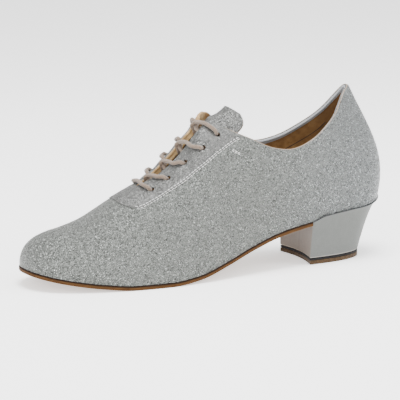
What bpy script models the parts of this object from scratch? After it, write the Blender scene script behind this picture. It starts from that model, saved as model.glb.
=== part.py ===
"""Ballroom practice shoe with a Cuban heel: left shoe, one size, standing empty on its sole.

The toe points to -X, the outer side of the foot is -Y and +Z is up.
Every form is worked out from the named sizes and from short tables whose numbers are
shares of those sizes, so a changed size carries through the whole shoe.
"""

import math

import bmesh
import bpy
from mathutils import Matrix, Vector

# Driving sizes in metres
LENGTH = 0.246            # last, toe tip to back
BALL_WIDTH = 0.0735       # last, across the ball
SEAT_WIDTH = 0.0495       # last, across the heel seat
TOE_SPRING = 0.0093       # outsole's underside at the toe tip above the floor
SEAT_RISE = 0.0336        # heel seat above the ball at the very back
SEAT_LIP = 0.0019         # the last's bottom turns up by this round the heel seat
INSTEP_HEIGHT = 0.0857    # tops of the lacing flaps above the insole side of the sole
BACK_HEIGHT = 0.0770      # top of the back above the heel seat
THROAT_GAP = 0.0190       # between the two flaps at their tops
WALL = 0.0020             # upper: cloth, interlining and suede lining
COLLAR_WALL = 0.0034      # the padded edge of the collar
MARGIN_WIDTH = 0.0100     # upper turned in under the foot
MARGIN_WALL = 0.0014
EYESTAY_STEP = 0.0005     # the lacing panel stands out of the upper by this
SOLE_THICKNESS = 0.0027
SOLE_EDGE = 0.0004        # outsole stands out beyond the last
INSOLE_THICKNESS = 0.0025
INSOLE_INSET = 0.0030     # its edge from the last's outline
HEEL_EDGE = 0.0006        # heel's top rim stands out beyond the last
HEEL_BASE_LENGTH = 0.0445
HEEL_BASE_WIDTH = 0.0426
BREAST_HOLLOW = 0.0030    # depth of the curve in the heel's front face
TIP_SUEDE = 0.0027
TIP_RUBBER = 0.0012
TONGUE_THICKNESS = 0.0020
TONGUE_HALF_WIDTH = 0.0178
TONGUE_RISE = 0.0215      # tongue's length above the flaps
EYELET_PAIRS = 5
EYELET_HOLE = 0.0034
EYELET_INSET = 0.0088     # hole's centre from the flap's edge
LACE = 0.0022
GAP = 0.0003              # between pieces that touch

# Shares, counts and smaller shapes
BREAST_AT = 0.7625        # heel's front face, as a share of LENGTH from the toe
HEEL_SQUARENESS = 2.45    # 2 would make the heel's base a half ellipse
HEEL_FLARE = 0.65         # below 1 the heel narrows fast under its top rim
HEEL_LEVELS = (0.0, 0.10, 0.24, 0.42, 0.66, 1.0)
HEEL_INSETS = (-HEEL_EDGE, 0.0, MARGIN_WIDTH / 3, MARGIN_WIDTH * 2 / 3, MARGIN_WIDTH)
TONGUE_ROUND = 0.0100     # radius of the tongue's top corners
TONGUE_LEAN = 22          # its slope above the flaps, in degrees
TONGUE_FIRST_ROW = 5.5
TONGUE_TOP_ROWS = 6
TONGUE_COLUMNS = 13
PANEL_FIRST_ROW, PANEL_LAST_ROW = 4, 14
PANEL_LOW = 0.45          # the lacing panel's sheet starts this far up the wall, before it is cut
PANEL_ROOT = 0.0006       # depth by which it is sunk into the wall that it is joined to
PANEL_INSET = 0.0006      # its edge stays this far back from the flap's edge
PANEL_ROWS = 7
PRISM_STEPS = 36
EYELET_FIRST_AT = 0.326   # first and last pair, as shares of LENGTH
EYELET_LAST_AT = 0.500
HOLE_SIDES = 12
LACE_OVER = EYESTAY_STEP + GAP + LACE / 2
LACE_UNDER = WALL + 2 * GAP + LACE / 2
LACE_STEPS = 2            # points of the tube for each point of its route

# Last's outline, by share of LENGTH from the toe: half widths as shares of
# BALL_WIDTH and SEAT_WIDTH, added together, on the outer (lat) and inner (med) side
OUTLINE = (
    # at     lat_ball  med_ball  lat_seat  med_seat
    (0.000, -0.067, 0.067, 0.000, 0.000),
    (0.020, 0.165, 0.238, 0.000, 0.000),
    (0.060, 0.292, 0.336, 0.000, 0.000),
    (0.120, 0.386, 0.412, 0.000, 0.000),
    (0.200, 0.456, 0.476, 0.000, 0.000),
    (0.280, 0.495, 0.497, 0.000, 0.000),
    (0.360, 0.504, 0.471, 0.000, 0.000),
    (0.460, 0.474, 0.405, 0.000, 0.000),
    (0.560, 0.280, 0.226, 0.208, 0.178),
    (0.660, 0.100, 0.080, 0.402, 0.366),
    (0.760, 0.000, 0.000, 0.510, 0.492),
    (0.860, 0.000, 0.000, 0.500, 0.500),
    (0.940, 0.000, 0.000, 0.448, 0.448),
    (0.985, 0.000, 0.000, 0.243, 0.243),
    (1.000, 0.000, 0.000, 0.000, 0.000),
)

# Outsole's underside: shares of TOE_SPRING and SEAT_RISE, and of SEAT_LIP for the
# turned-up edge of the last's bottom
PROFILE = (
    # at    toe    seat   lip
    (0.00, 1.000, 0.000, 0.00),
    (0.08, 0.563, 0.000, 0.00),
    (0.16, 0.230, 0.000, 0.00),
    (0.25, 0.000, 0.000, 0.00),
    (0.34, 0.000, 0.000, 0.00),
    (0.42, 0.000, 0.067, 0.00),
    (0.50, 0.000, 0.253, 0.00),
    (0.58, 0.000, 0.475, 0.00),
    (0.66, 0.000, 0.655, 0.00),
    (0.74, 0.000, 0.768, 0.00),
    (0.764, 0.000, 0.794, 0.05),
    (0.80, 0.000, 0.833, 0.95),
    (0.86, 0.000, 0.889, 1.00),
    (0.92, 0.000, 0.938, 0.65),
    (1.00, 0.000, 1.000, 0.30),
)

# Upper: one row for each meridian, from the toe round to the back. foot is where it
# leaves the last's outline and spine where its plane cuts the middle line, as shares of
# LENGTH. The rim lies at gap half THROAT_GAPs plus collar SEAT_WIDTHs from the spine, and
# at instep INSTEP_HEIGHTs plus back BACK_HEIGHTs above the foot, on each side.
# flare is the wall's outward lean at the foot and crown its slope at the rim, in
# degrees, and pull_foot and pull_rim are the lengths of the curve's two handles.
UPPER = (
    # foot   spine   gap   collar instep back_lat back_med flare_lat flare_med crown pull_foot pull_rim
    (0.000, 0.069, 0.00, 0.000, 0.240, 0.000, 0.000, 1, 1, 0, 0.42, 0.42),
    (0.010, 0.080, 0.00, 0.000, 0.256, 0.000, 0.000, 3, 3, 0, 0.42, 0.42),
    (0.038, 0.102, 0.00, 0.000, 0.287, 0.000, 0.000, 6, 6, 0, 0.43, 0.42),
    (0.090, 0.134, 0.00, 0.000, 0.337, 0.000, 0.000, 9, 9, 0, 0.44, 0.42),
    (0.160, 0.179, 0.00, 0.000, 0.417, 0.000, 0.000, 10, 9, 0, 0.44, 0.40),
    (0.236, 0.236, 0.00, 0.000, 0.539, 0.000, 0.000, 8, 8, 0, 0.44, 0.36),
    (0.293, 0.293, 0.00, 0.000, 0.625, 0.000, 0.000, 6, 8, 0, 0.44, 0.33),
    (0.324, 0.324, 0.29, 0.000, 0.669, 0.000, 0.000, 5, 8, 8, 0.44, 0.31),
    (0.365, 0.365, 0.47, 0.000, 0.749, 0.000, 0.000, 4, 8, 14, 0.44, 0.29),
    (0.410, 0.410, 0.65, 0.000, 0.858, 0.000, 0.000, 2, 9, 20, 0.44, 0.27),
    (0.455, 0.455, 0.87, 0.000, 0.979, 0.000, 0.010, 1, 11, 26, 0.43, 0.25),
    (0.495, 0.495, 1.00, 0.000, 1.000, 0.000, 0.024, 1, 13, 34, 0.42, 0.25),
    (0.515, 0.515, 1.00, 0.084, 0.954, 0.000, 0.040, 2, 14, 46, 0.41, 0.26),
    (0.545, 0.545, 0.60, 0.290, 0.868, 0.000, 0.020, 3, 15, 58, 0.40, 0.28),
    (0.585, 0.585, 0.20, 0.466, 0.450, 0.360, 0.347, 4, 15, 68, 0.38, 0.30),
    (0.640, 0.640, 0.00, 0.550, 0.000, 0.724, 0.700, 6, 14, 76, 0.36, 0.32),
    (0.700, 0.700, 0.00, 0.560, 0.000, 0.660, 0.630, 8, 11, 79, 0.36, 0.33),
    (0.7625, 0.7625, 0.00, 0.530, 0.000, 0.700, 0.640, 9, 9, 76, 0.36, 0.34),
    (0.825, 0.810, 0.00, 0.444, 0.000, 0.810, 0.720, 10, 10, 71, 0.37, 0.36),
    (0.885, 0.830, 0.00, 0.338, 0.000, 0.905, 0.815, 11, 11, 67, 0.38, 0.38),
    (0.945, 0.850, 0.00, 0.262, 0.000, 0.968, 0.915, 12, 12, 65, 0.39, 0.40),
    (0.985, 0.857, 0.00, 0.272, 0.000, 0.996, 0.982, 13, 13, 64, 0.40, 0.41),
    (1.000, 0.860, 0.00, 0.273, 0.000, 1.000, 1.000, 13, 13, 64, 0.40, 0.41),
)
CLOSED_ROW = 6            # up to this row the two sides meet along the top of the vamp
FLAP_TOP_ROW = 11
BREAST_ROW = 17
LAST_ROW = len(UPPER) - 1
STEPS = 2                 # meridians from one row to the next
WALL_ROWS = 9             # rows of faces from the foot to the rim

# Lacing panel's seam seen from the side: a share of LENGTH, and its height above the
# last's bottom as a share of INSTEP_HEIGHT. Its ends lie above the shoe.
EYESTAY = (
    # at     high
    (0.205, 0.650),
    (0.231, 0.577),
    (0.245, 0.544),
    (0.262, 0.527),
    (0.282, 0.526),
    (0.304, 0.548),
    (0.331, 0.583),
    (0.368, 0.639),
    (0.401, 0.687),
    (0.435, 0.746),
    (0.472, 0.787),
    (0.511, 0.810),
    (0.535, 0.823),
    (0.562, 0.840),
    (0.580, 0.900),
)

# Lace between the flaps, for the end that crosses below and the one that crosses above:
# share of the gap, share of the step to the next pair, and depths as shares of LACE
LACE_GAP = (
    # part   step   low   high
    (-0.16, 0.39, 0.90, -0.50),
    (0.00, 0.46, 0.82, -0.62),
    (0.24, 0.54, 0.58, -0.70),
)


def curve_through(xs, ys, monotone=False):
    """A smooth curve through the points, as a function; monotone keeps flats flat."""
    count = len(xs)
    rises = [(ys[i + 1] - ys[i]) / (xs[i + 1] - xs[i]) for i in range(count - 1)]
    slopes = [rises[0]] + [0.0] * (count - 2) + [rises[-1]]
    for i in range(1, count - 1):
        before, after = xs[i] - xs[i - 1], xs[i + 1] - xs[i]
        slopes[i] = (rises[i - 1] * after + rises[i] * before) / (before + after)
        if monotone:
            if rises[i - 1] * rises[i] <= 0.0:
                slopes[i] = 0.0
            else:
                w1, w2 = 2 * after + before, after + 2 * before
                slopes[i] = (w1 + w2) / (w1 / rises[i - 1] + w2 / rises[i])

    def value(x):
        x = min(max(x, xs[0]), xs[-1])
        i = max(k for k in range(count - 1) if xs[k] <= x)
        span = xs[i + 1] - xs[i]
        s = (x - xs[i]) / span
        h00, h10 = (1 + 2 * s) * (1 - s) ** 2, s * (1 - s) ** 2
        h01, h11 = s * s * (3 - 2 * s), s * s * (s - 1)
        return h00 * ys[i] + h10 * span * slopes[i] + h01 * ys[i + 1] + h11 * span * slopes[i + 1]

    return value


def column(table, index):
    return [row[index] for row in table]


def round_share(at):
    """Turns a share of the length into an angle, so that both ends of the outline are round."""
    return math.acos(min(1.0, max(-1.0, 1.0 - 2.0 * at)))


LAT, MED = -1, 1
OUTLINE_ANGLES = [round_share(at) for at in column(OUTLINE, 0)]
HALF_WIDTHS = {
    side: curve_through(
        OUTLINE_ANGLES,
        [row[ball] * BALL_WIDTH + row[seat] * SEAT_WIDTH for row in OUTLINE],
    )
    for side, ball, seat in ((LAT, 1, 3), (MED, 2, 4))
}
UNDERSIDE = curve_through(
    column(PROFILE, 0), [row[1] * TOE_SPRING + row[2] * SEAT_RISE for row in PROFILE], monotone=True
)
LIP = curve_through(column(PROFILE, 0), [row[3] * SEAT_LIP for row in PROFILE], monotone=True)
ROW_NUMBERS = list(range(len(UPPER)))
(FOOT, SPINE, RIM_GAP, RIM_COLLAR, INSTEP, BACK_LAT, BACK_MED,
 FLARE_LAT, FLARE_MED, CROWN, PULL_FOOT, PULL_RIM) = (
    curve_through(ROW_NUMBERS, column(UPPER, index)) for index in range(12)
)


def along(at):
    """Share of the length from the toe to a place along X."""
    return LENGTH * (at - 0.5)


def share(x):
    return x / LENGTH + 0.5


def outline_point(at, side):
    return Vector((along(at), side * HALF_WIDTHS[side](round_share(at)), 0.0))


def sole_top(x):
    """Height of the outsole's upper face at x."""
    return UNDERSIDE(share(x)) + SOLE_THICKNESS


def seat_height(x, inset):
    """Height of the last's bottom at x, inset from its edge, with the turned-up heel seat."""
    edge = max(0.0, 1.0 - max(0.0, inset) / MARGIN_WIDTH)
    return sole_top(x) + GAP + LIP(share(x)) * edge * edge


class Meridian:
    """One section of the upper, in the upright plane from the spine through the foot."""

    def __init__(self, row, side):
        self.row, self.side = row, side
        self.spine = Vector((along(SPINE(row)), 0.0, 0.0))
        foot = outline_point(FOOT(row), side)
        self.out = (foot - self.spine).normalized()
        self.foot_reach = (foot - self.spine).length
        closed = row <= CLOSED_ROW
        reach = 0.0 if closed else RIM_GAP(row) * THROAT_GAP / 2 + RIM_COLLAR(row) * SEAT_WIDTH
        back = (BACK_LAT if side == LAT else BACK_MED)(row)
        foot_high = sole_top(foot.x) + GAP
        high = foot_high + INSTEP(row) * INSTEP_HEIGHT + back * BACK_HEIGHT
        start = Vector((self.foot_reach, seat_height(foot.x, 0.0)))
        end = Vector((reach, high))
        size = (end - start).length
        flare = math.radians((FLARE_LAT if side == LAT else FLARE_MED)(row))
        crown = math.radians(CROWN(row))
        if closed:
            crown = math.atan(ridge_slope(row) * -self.out.x)
        lean = Vector((math.sin(flare), math.cos(flare)))
        fall = Vector((math.cos(crown), -math.sin(crown)))
        self.handles = (
            start,
            start + lean * size * PULL_FOOT(row),
            end + fall * size * PULL_RIM(row),
            end,
        )

    def at(self, v):
        """The point a share v of the way up the curve from the foot to the rim."""
        a, b, c, d = self.handles
        u = 1.0 - v
        flat = a * u ** 3 + b * 3 * u * u * v + c * 3 * u * v * v + d * v ** 3
        return self.spine + self.out * flat.x + Vector((0.0, 0.0, flat.y))

    def under(self, inset):
        """A point on the last's bottom, this far in from its edge."""
        reach = max(0.0, self.foot_reach - inset)
        point = self.spine + self.out * reach
        return Vector((point.x, point.y, seat_height(point.x, inset)))


def ridge_slope(row):
    """Slope of the vamp's top line along X."""
    low, high = max(0.0, row - 0.25), min(CLOSED_ROW + 0.0, row + 0.25)
    points = []
    for r in (low, high):
        foot = outline_point(FOOT(r), LAT)
        points.append((along(SPINE(r)), sole_top(foot.x) + INSTEP(r) * INSTEP_HEIGHT))
    return (points[1][1] - points[0][1]) / (points[1][0] - points[0][0])


def skin_point(row, side, v):
    return Meridian(row, side).at(v)


def skin_normal(row, side, v):
    """Outward normal of the upper's outer face."""
    low_row, high_row = max(0.0, row - 0.1), min(LAST_ROW + 0.0, row + 0.1)
    low_v, high_v = max(0.0, v - 0.03), min(1.0, v + 0.03)
    along_row = skin_point(high_row, side, v) - skin_point(low_row, side, v)
    up = skin_point(row, side, high_v) - skin_point(row, side, low_v)
    normal = along_row.cross(up) * -side
    if row <= CLOSED_ROW and v > 0.999:
        normal = Vector((-ridge_slope(row), 0.0, 1.0))
    elif row < 1e-6 or row > LAST_ROW - 1e-6:
        normal.y = 0.0
    return normal.normalized()


def skin(row, side, v, depth):
    """A point below (depth above zero) or above the upper's outer face."""
    return skin_point(row, side, v) - skin_normal(row, side, v) * depth


def share_below_rim(row, side, distance):
    """The share v at this distance down the outer face from the rim."""
    last, walked, v, step = skin_point(row, side, 1.0), 0.0, 1.0, 0.0
    while walked < distance and v > 0.0:
        v -= 0.01
        here = skin_point(row, side, v)
        step = (here - last).length
        walked += step
        last = here
    return v + 0.01 * (walked - distance) / step if step else v


def row_at(at):
    """The table row, with its fraction, whose spine lies at this share of the length."""
    low, high = 0.0, LAST_ROW + 0.0
    for _ in range(40):
        middle = (low + high) / 2
        if SPINE(middle) < at:
            low = middle
        else:
            high = middle
    return (low + high) / 2


def ring_of_columns():
    """(row, side) pairs from the toe down the outer side and back up the inner side."""
    rows = [k / STEPS for k in range(LAST_ROW * STEPS + 1)]
    return [(row, LAT) for row in rows] + [(row, MED) for row in rows[-2:0:-1]]


def wall_at(row, v):
    """The wall thickens towards the collar's edge behind the lacing flaps."""
    if row <= FLAP_TOP_ROW:
        return WALL
    blend = min(1.0, (row - FLAP_TOP_ROW) / 2.0)
    return WALL + (COLLAR_WALL - WALL) * blend * max(0.0, (v - 0.72) / 0.28) ** 2


def collections():
    shoe = bpy.data.collections.new("ballroom_dance_shoe")
    cutters = bpy.data.collections.new("cutters")
    for collection in (shoe, cutters):
        bpy.context.scene.collection.children.link(collection)
    return shoe, cutters


def material(name, colour, roughness, metallic=0.0):
    made = bpy.data.materials.new(name)
    made.use_nodes = True
    shader = made.node_tree.nodes["Principled BSDF"]
    shader.inputs["Base Color"].default_value = (*colour, 1.0)
    shader.inputs["Roughness"].default_value = roughness
    shader.inputs["Metallic"].default_value = metallic
    return made


def finish_object(name, bm, collection, finish=None, sharp_degrees=40):
    bmesh.ops.remove_doubles(bm, verts=bm.verts, dist=1e-6)
    bmesh.ops.dissolve_degenerate(bm, dist=1e-6, edges=bm.edges)
    bmesh.ops.recalc_face_normals(bm, faces=bm.faces)
    mesh = bpy.data.meshes.new(name)
    bm.to_mesh(mesh)
    bm.free()
    mesh.shade_smooth()
    mesh.set_sharp_from_angle(angle=math.radians(sharp_degrees))
    made = bpy.data.objects.new(name, mesh)
    collection.objects.link(made)
    if finish:
        mesh.materials.append(finish)
    return made


def bridge(bm, first, second, closed=True):
    """Quads between two rows of vertices."""
    count = len(first)
    for i in range(count if closed else count - 1):
        j = (i + 1) % count
        corners = []
        for vert in (first[i], first[j], second[j], second[i]):
            if vert not in corners:
                corners.append(vert)
        if len(corners) > 2 and not bm.faces.get(corners):
            bm.faces.new(corners)


def cutter(made):
    made.hide_render = True
    made.display_type = "WIRE"
    return made


def boolean(target, tool, operation):
    modifier = target.modifiers.new(operation.lower() + "_" + tool.name, "BOOLEAN")
    modifier.operation = operation
    modifier.object = tool
    modifier.solver = "EXACT"


def upper_shell(collection, finish):
    """The hollow upper: outer face, rolled rim, inner face and the margin turned in below."""
    columns = ring_of_columns()
    bm = bmesh.new()
    rows_out, rows_in = [], []
    for inset in (MARGIN_WIDTH, MARGIN_WIDTH / 2):
        rows_out.append([Meridian(*c).under(inset) for c in columns])
        rows_in.append([p + Vector((0, 0, MARGIN_WALL)) for p in rows_out[-1]])
    feet = [Meridian(*c) for c in columns]
    rows_out.append([m.under(0.0) for m in feet])
    rows_in.append([m.under(WALL) + Vector((0, 0, MARGIN_WALL)) for m in feet])
    for k in range(1, WALL_ROWS + 1):
        v = k / WALL_ROWS
        rows_out.append([skin(row, side, v, 0.0) for row, side in columns])
        rows_in.append([skin(row, side, v, wall_at(row, v)) for row, side in columns])
    top_out, top_in = rows_out[-1], rows_in[-1]
    lift = [skin_point(r, s, 1.0) - skin_point(r, s, 0.97) for r, s in columns]
    middle = []
    for (row, side), a, b, up in zip(columns, top_out, top_in, lift):
        roll = 0.0 if row <= CLOSED_ROW else 0.3 * (a - b).length
        middle.append((a + b) / 2 + up.normalized() * roll)
    verts_out = [[bm.verts.new(p) for p in row] for row in rows_out]
    verts_in = [[bm.verts.new(p) for p in row] for row in rows_in]
    verts_mid = [bm.verts.new(p) for p in middle]
    for skins in (verts_out, verts_in):
        for low, high in zip(skins, skins[1:]):
            bridge(bm, low, high)
    bridge(bm, verts_out[0], verts_in[0])
    count = len(columns)
    for i, (row, _) in enumerate(columns):
        j = (i + 1) % count
        if row < CLOSED_ROW or columns[j][0] < CLOSED_ROW:
            continue
        for a, b in ((verts_out[-1], verts_mid), (verts_mid, verts_in[-1])):
            bm.faces.new((a[i], a[j], b[j], b[i]))
    loose = [v for v in verts_mid if not v.link_faces]
    bmesh.ops.delete(bm, geom=loose, context="VERTS")
    return finish_object("upper", bm, collection, finish)


def breast_bow(y, half_width):
    """How far the heel's hollow front face lies back from its two edges."""
    return BREAST_HOLLOW * (1.0 - min(1.0, abs(y) / half_width) ** 2)


def open_ring(first, last, side):
    """(row, side) pairs from one end to the other, by way of the toe or the back."""
    rows = [first + k / STEPS for k in range((last - first) * STEPS + 1)]
    if first == 0:
        return [(row, -side) for row in rows[:0:-1]] + [(row, side) for row in rows]
    return [(row, side) for row in rows] + [(row, -side) for row in rows[-2::-1]]


def plate(name, collection, finish, columns, insets, top, bottom, end_shift=0.0, closed=False):
    """A shaped sheet under the foot, from its edge to the middle line: two faces and a rim."""
    bm = bmesh.new()
    faces = []
    for height in (top, bottom):
        rows = []
        for inset in (*insets, None):
            row = []
            for number, side in columns:
                section = Meridian(number, side)
                depth = section.foot_reach if inset is None else inset
                point = section.spine + section.out * (section.foot_reach - depth)
                point.z = height(point.x, depth)
                if number == BREAST_ROW and not closed:
                    point.x += end_shift + breast_bow(point.y, section.foot_reach)
                row.append(bm.verts.new(point))
            rows.append(row)
        for low, high in zip(rows, rows[1:]):
            bridge(bm, low, high, closed)
        faces.append(rows)
    bridge(bm, faces[0][0], faces[1][0], closed)
    if not closed:
        for end in (0, -1):
            top_end = [row[end] for row in faces[0]]
            bottom_end = [row[end] for row in faces[1]]
            bridge(bm, top_end, bottom_end, closed=False)
    return finish_object(name, bm, collection, finish)


def outsole(collection, finish):
    return plate(
        "outsole", collection, finish, open_ring(0, BREAST_ROW, LAT),
        (-SOLE_EDGE, MARGIN_WIDTH),
        lambda x, inset: sole_top(x),
        lambda x, inset: UNDERSIDE(share(x)),
        end_shift=-GAP,
    )


def insole(collection, finish):
    def underneath(x, inset):
        return seat_height(x, inset) + MARGIN_WALL + GAP

    return plate(
        "insole", collection, finish, ring_of_columns(),
        (INSOLE_INSET, MARGIN_WIDTH),
        lambda x, inset: underneath(x, inset) + INSOLE_THICKNESS,
        underneath,
        closed=True,
    )


def heel_base_point(row, side):
    """The base outline's point under a meridian: a D with its flat side forward."""
    turn = math.pi / 2 * (1.0 - (row - BREAST_ROW) / (LAST_ROW - BREAST_ROW))
    power = 2.0 / HEEL_SQUARENESS
    x = along(BREAST_AT) + HEEL_BASE_LENGTH * max(0.0, math.cos(turn)) ** power
    y = side * HEEL_BASE_WIDTH / 2 * max(0.0, math.sin(turn)) ** power
    return Vector((x, y, 0.0))


def breast_shares():
    """Places across the heel's front face, from the inner edge to the outer, as shares."""
    reach = Meridian(BREAST_ROW, MED).foot_reach
    steps = [(reach - inset) / (reach + HEEL_EDGE) for inset in HEEL_INSETS] + [0.0]
    return steps + [-step for step in steps[-2::-1]]


def heel_base_outline():
    points = [heel_base_point(*c) for c in open_ring(BREAST_ROW, LAST_ROW, LAT)]
    for across in breast_shares()[1:-1]:
        y = across * HEEL_BASE_WIDTH / 2
        points.append(Vector((along(BREAST_AT) + breast_bow(y, HEEL_BASE_WIDTH / 2), y, 0.0)))
    return points


def heel_top_point(row, side, inset):
    """A point of the dished top that carries the heel seat."""
    section = Meridian(row, side)
    depth = section.foot_reach if inset is None else inset
    point = section.spine + section.out * (section.foot_reach - depth)
    point.z = seat_height(point.x, depth) - GAP
    if row == BREAST_ROW:
        point.x += breast_bow(point.y, section.foot_reach + HEEL_EDGE)
    return point


def heel_top_outline():
    """The rim under the heel seat, point for point as heel_base_outline."""
    points = [heel_top_point(*c, -HEEL_EDGE) for c in open_ring(BREAST_ROW, LAST_ROW, LAT)]
    points += [heel_top_point(BREAST_ROW, MED, inset) for inset in (*HEEL_INSETS[1:], None)]
    points += [heel_top_point(BREAST_ROW, LAT, inset) for inset in HEEL_INSETS[:0:-1]]
    return points


def heel(collection, finish):
    """The covered heel: a dished top, sides that sweep in to a smaller base, a hollow front."""
    bm = bmesh.new()
    base_height = TIP_SUEDE + TIP_RUBBER + 2 * GAP
    levels = []
    for level in HEEL_LEVELS:
        ring = []
        for a, b in zip(heel_top_outline(), heel_base_outline()):
            point = a.lerp(b, level ** HEEL_FLARE)
            point.z = a.z + (base_height - a.z) * level
            ring.append(bm.verts.new(point))
        levels.append(ring)
    for higher, lower in zip(levels, levels[1:]):
        bridge(bm, higher, lower)
    bm.faces.new(levels[-1])
    columns = open_ring(BREAST_ROW, LAST_ROW, LAT)
    rows = [levels[0][:len(columns)]]
    for inset in (*HEEL_INSETS[1:], None):
        rows.append([bm.verts.new(heel_top_point(*c, inset)) for c in columns])
    for outer, inner in zip(rows, rows[1:]):
        bridge(bm, outer, inner, closed=False)
    return finish_object("heel", bm, collection, finish)


def heel_layer(name, collection, finish, low, high):
    """One flat layer of the heel's tip, cut to the base outline."""
    bm = bmesh.new()
    floor = bm.faces.new([bm.verts.new(p + Vector((0, 0, low))) for p in heel_base_outline()])
    raised = bmesh.ops.extrude_face_region(bm, geom=[floor])
    moved = [item for item in raised["geom"] if isinstance(item, bmesh.types.BMVert)]
    bmesh.ops.translate(bm, verts=moved, vec=(0, 0, high - low))
    return finish_object(name, bm, collection, finish)


def across_throat(row, depth):
    """Points over the instep at this depth, from under one flap to under the other."""
    shares = [0.4 + 0.6 * k / 12 for k in range(13)]
    outer = [skin(row, LAT, v, depth) for v in shares]
    inner = [skin(row, MED, v, depth) for v in shares]
    points = list(outer)
    if row > CLOSED_ROW:
        a, b = outer[-1], inner[-1]
        reach = (b - a).length / 3
        a_handle = a + (outer[-1] - outer[-2]).normalized() * reach
        b_handle = b + (inner[-1] - inner[-2]).normalized() * reach
        for k in range(1, 6):
            t = k / 6
            u = 1.0 - t
            points.append(
                a * u ** 3 + a_handle * 3 * u * u * t + b_handle * 3 * u * t * t + b * t ** 3
            )
        points.append(inner[-1])
    return points + inner[-2::-1]


def spaced_from_middle(points, half_width, count):
    """Evenly spaced points on a line of points, within half_width of its middle."""
    lengths = [0.0]
    for a, b in zip(points, points[1:]):
        lengths.append(lengths[-1] + (b - a).length)
    signs = [k for k in range(len(points) - 1) if points[k].y <= 0.0 <= points[k + 1].y]
    k = signs[0]
    part = -points[k].y / max(1e-9, points[k + 1].y - points[k].y)
    middle = lengths[k] + (lengths[k + 1] - lengths[k]) * part
    spaced = []
    for number in range(count):
        want = middle + half_width * (2.0 * number / (count - 1) - 1.0)
        want = min(max(want, 0.0), lengths[-1] - 1e-9)
        k = max(n for n in range(len(points) - 1) if lengths[n] <= want)
        spaced.append(points[k].lerp(points[k + 1], (want - lengths[k]) / (lengths[k + 1] - lengths[k])))
    return spaced


def tongue_depth(row):
    """Depth of the tongue's outer face: against the vamp in front, below the lace behind."""
    blend = min(1.0, max(0.0, row - CLOSED_ROW + 0.5))
    return WALL + 2 * GAP + blend * (LACE + 3 * GAP)


def tongue_rows():
    rows = []
    row = TONGUE_FIRST_ROW
    while row <= FLAP_TOP_ROW:
        line = across_throat(row, tongue_depth(row))
        rows.append(spaced_from_middle(line, TONGUE_HALF_WIDTH, TONGUE_COLUMNS))
        row += 1 / STEPS
    base = rows[-1]
    middle = base[TONGUE_COLUMNS // 2]
    lean = math.radians(TONGUE_LEAN)
    line = across_throat(FLAP_TOP_ROW, tongue_depth(FLAP_TOP_ROW))
    for k in range(1, TONGUE_TOP_ROWS + 1):
        rise = TONGUE_RISE * math.sin(math.pi / 2 * k / TONGUE_TOP_ROWS)
        into_round = max(0.0, rise - (TONGUE_RISE - TONGUE_ROUND))
        narrow = TONGUE_ROUND - math.sqrt(max(0.0, TONGUE_ROUND ** 2 - into_round ** 2))
        section = spaced_from_middle(line, TONGUE_HALF_WIDTH - narrow, TONGUE_COLUMNS)
        turned = lean * min(1.0, rise / TONGUE_ROUND)
        moved = []
        for point in section:
            drop = middle.z - point.z
            moved.append(Vector((
                point.x + rise * math.cos(lean) + drop * math.sin(turned),
                point.y,
                middle.z + rise * math.sin(lean) - drop * math.cos(turned),
            )))
        rows.append(moved)
    return rows


def tongue(collection, finish):
    """One sheet from under the vamp to above the flaps, arched over the instep."""
    bm = bmesh.new()
    rows = [[bm.verts.new(p) for p in row] for row in tongue_rows()]
    for low, high in zip(rows, rows[1:]):
        bridge(bm, low, high, closed=False)
    made = finish_object("tongue", bm, collection, finish)
    if made.data.polygons[0].normal.z < 0.0:
        made.data.flip_normals()
    sheet = made.modifiers.new("thickness", "SOLIDIFY")
    sheet.thickness = TONGUE_THICKNESS
    sheet.offset = -1.0
    sheet.use_even_offset = True
    return made


def panel_sheet(collection):
    """The lacing panel before it is cut: a thin sheet half sunk into the upper's outer face."""
    rows = [PANEL_FIRST_ROW + k / STEPS for k in range((PANEL_LAST_ROW - PANEL_FIRST_ROW) * STEPS + 1)]
    split = rows.index(CLOSED_ROW - 1 / STEPS)
    bm = bmesh.new()
    for side in (LAT, MED):
        faces = []
        for depth in (-EYESTAY_STEP, PANEL_ROOT):
            grid = []
            for number, row in enumerate(rows):
                top = share_below_rim(row, side, PANEL_INSET)
                shares = [PANEL_LOW + (top - PANEL_LOW) * k / PANEL_ROWS for k in range(PANEL_ROWS + 1)]
                if number <= split:
                    shares.append(1.0)
                grid.append([bm.verts.new(skin(row, side, v, depth)) for v in shares])
            for low, high in zip(grid, grid[1:]):
                bridge(bm, low[:len(high)], high, closed=False)
            faces.append(grid)
        outer, inner = faces
        bridge(bm, outer[0], inner[0], closed=False)
        bridge(bm, outer[-1], inner[-1], closed=False)
        bridge(bm, outer[split][-2:], inner[split][-2:], closed=False)
        bridge(bm, [g[0] for g in outer], [g[0] for g in inner], closed=False)
        edges = [[g[PANEL_ROWS] for g in grid[split:]] for grid in faces]
        bridge(bm, *edges, closed=False)
    return cutter(finish_object("lacing_panel", bm, collection))


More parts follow.
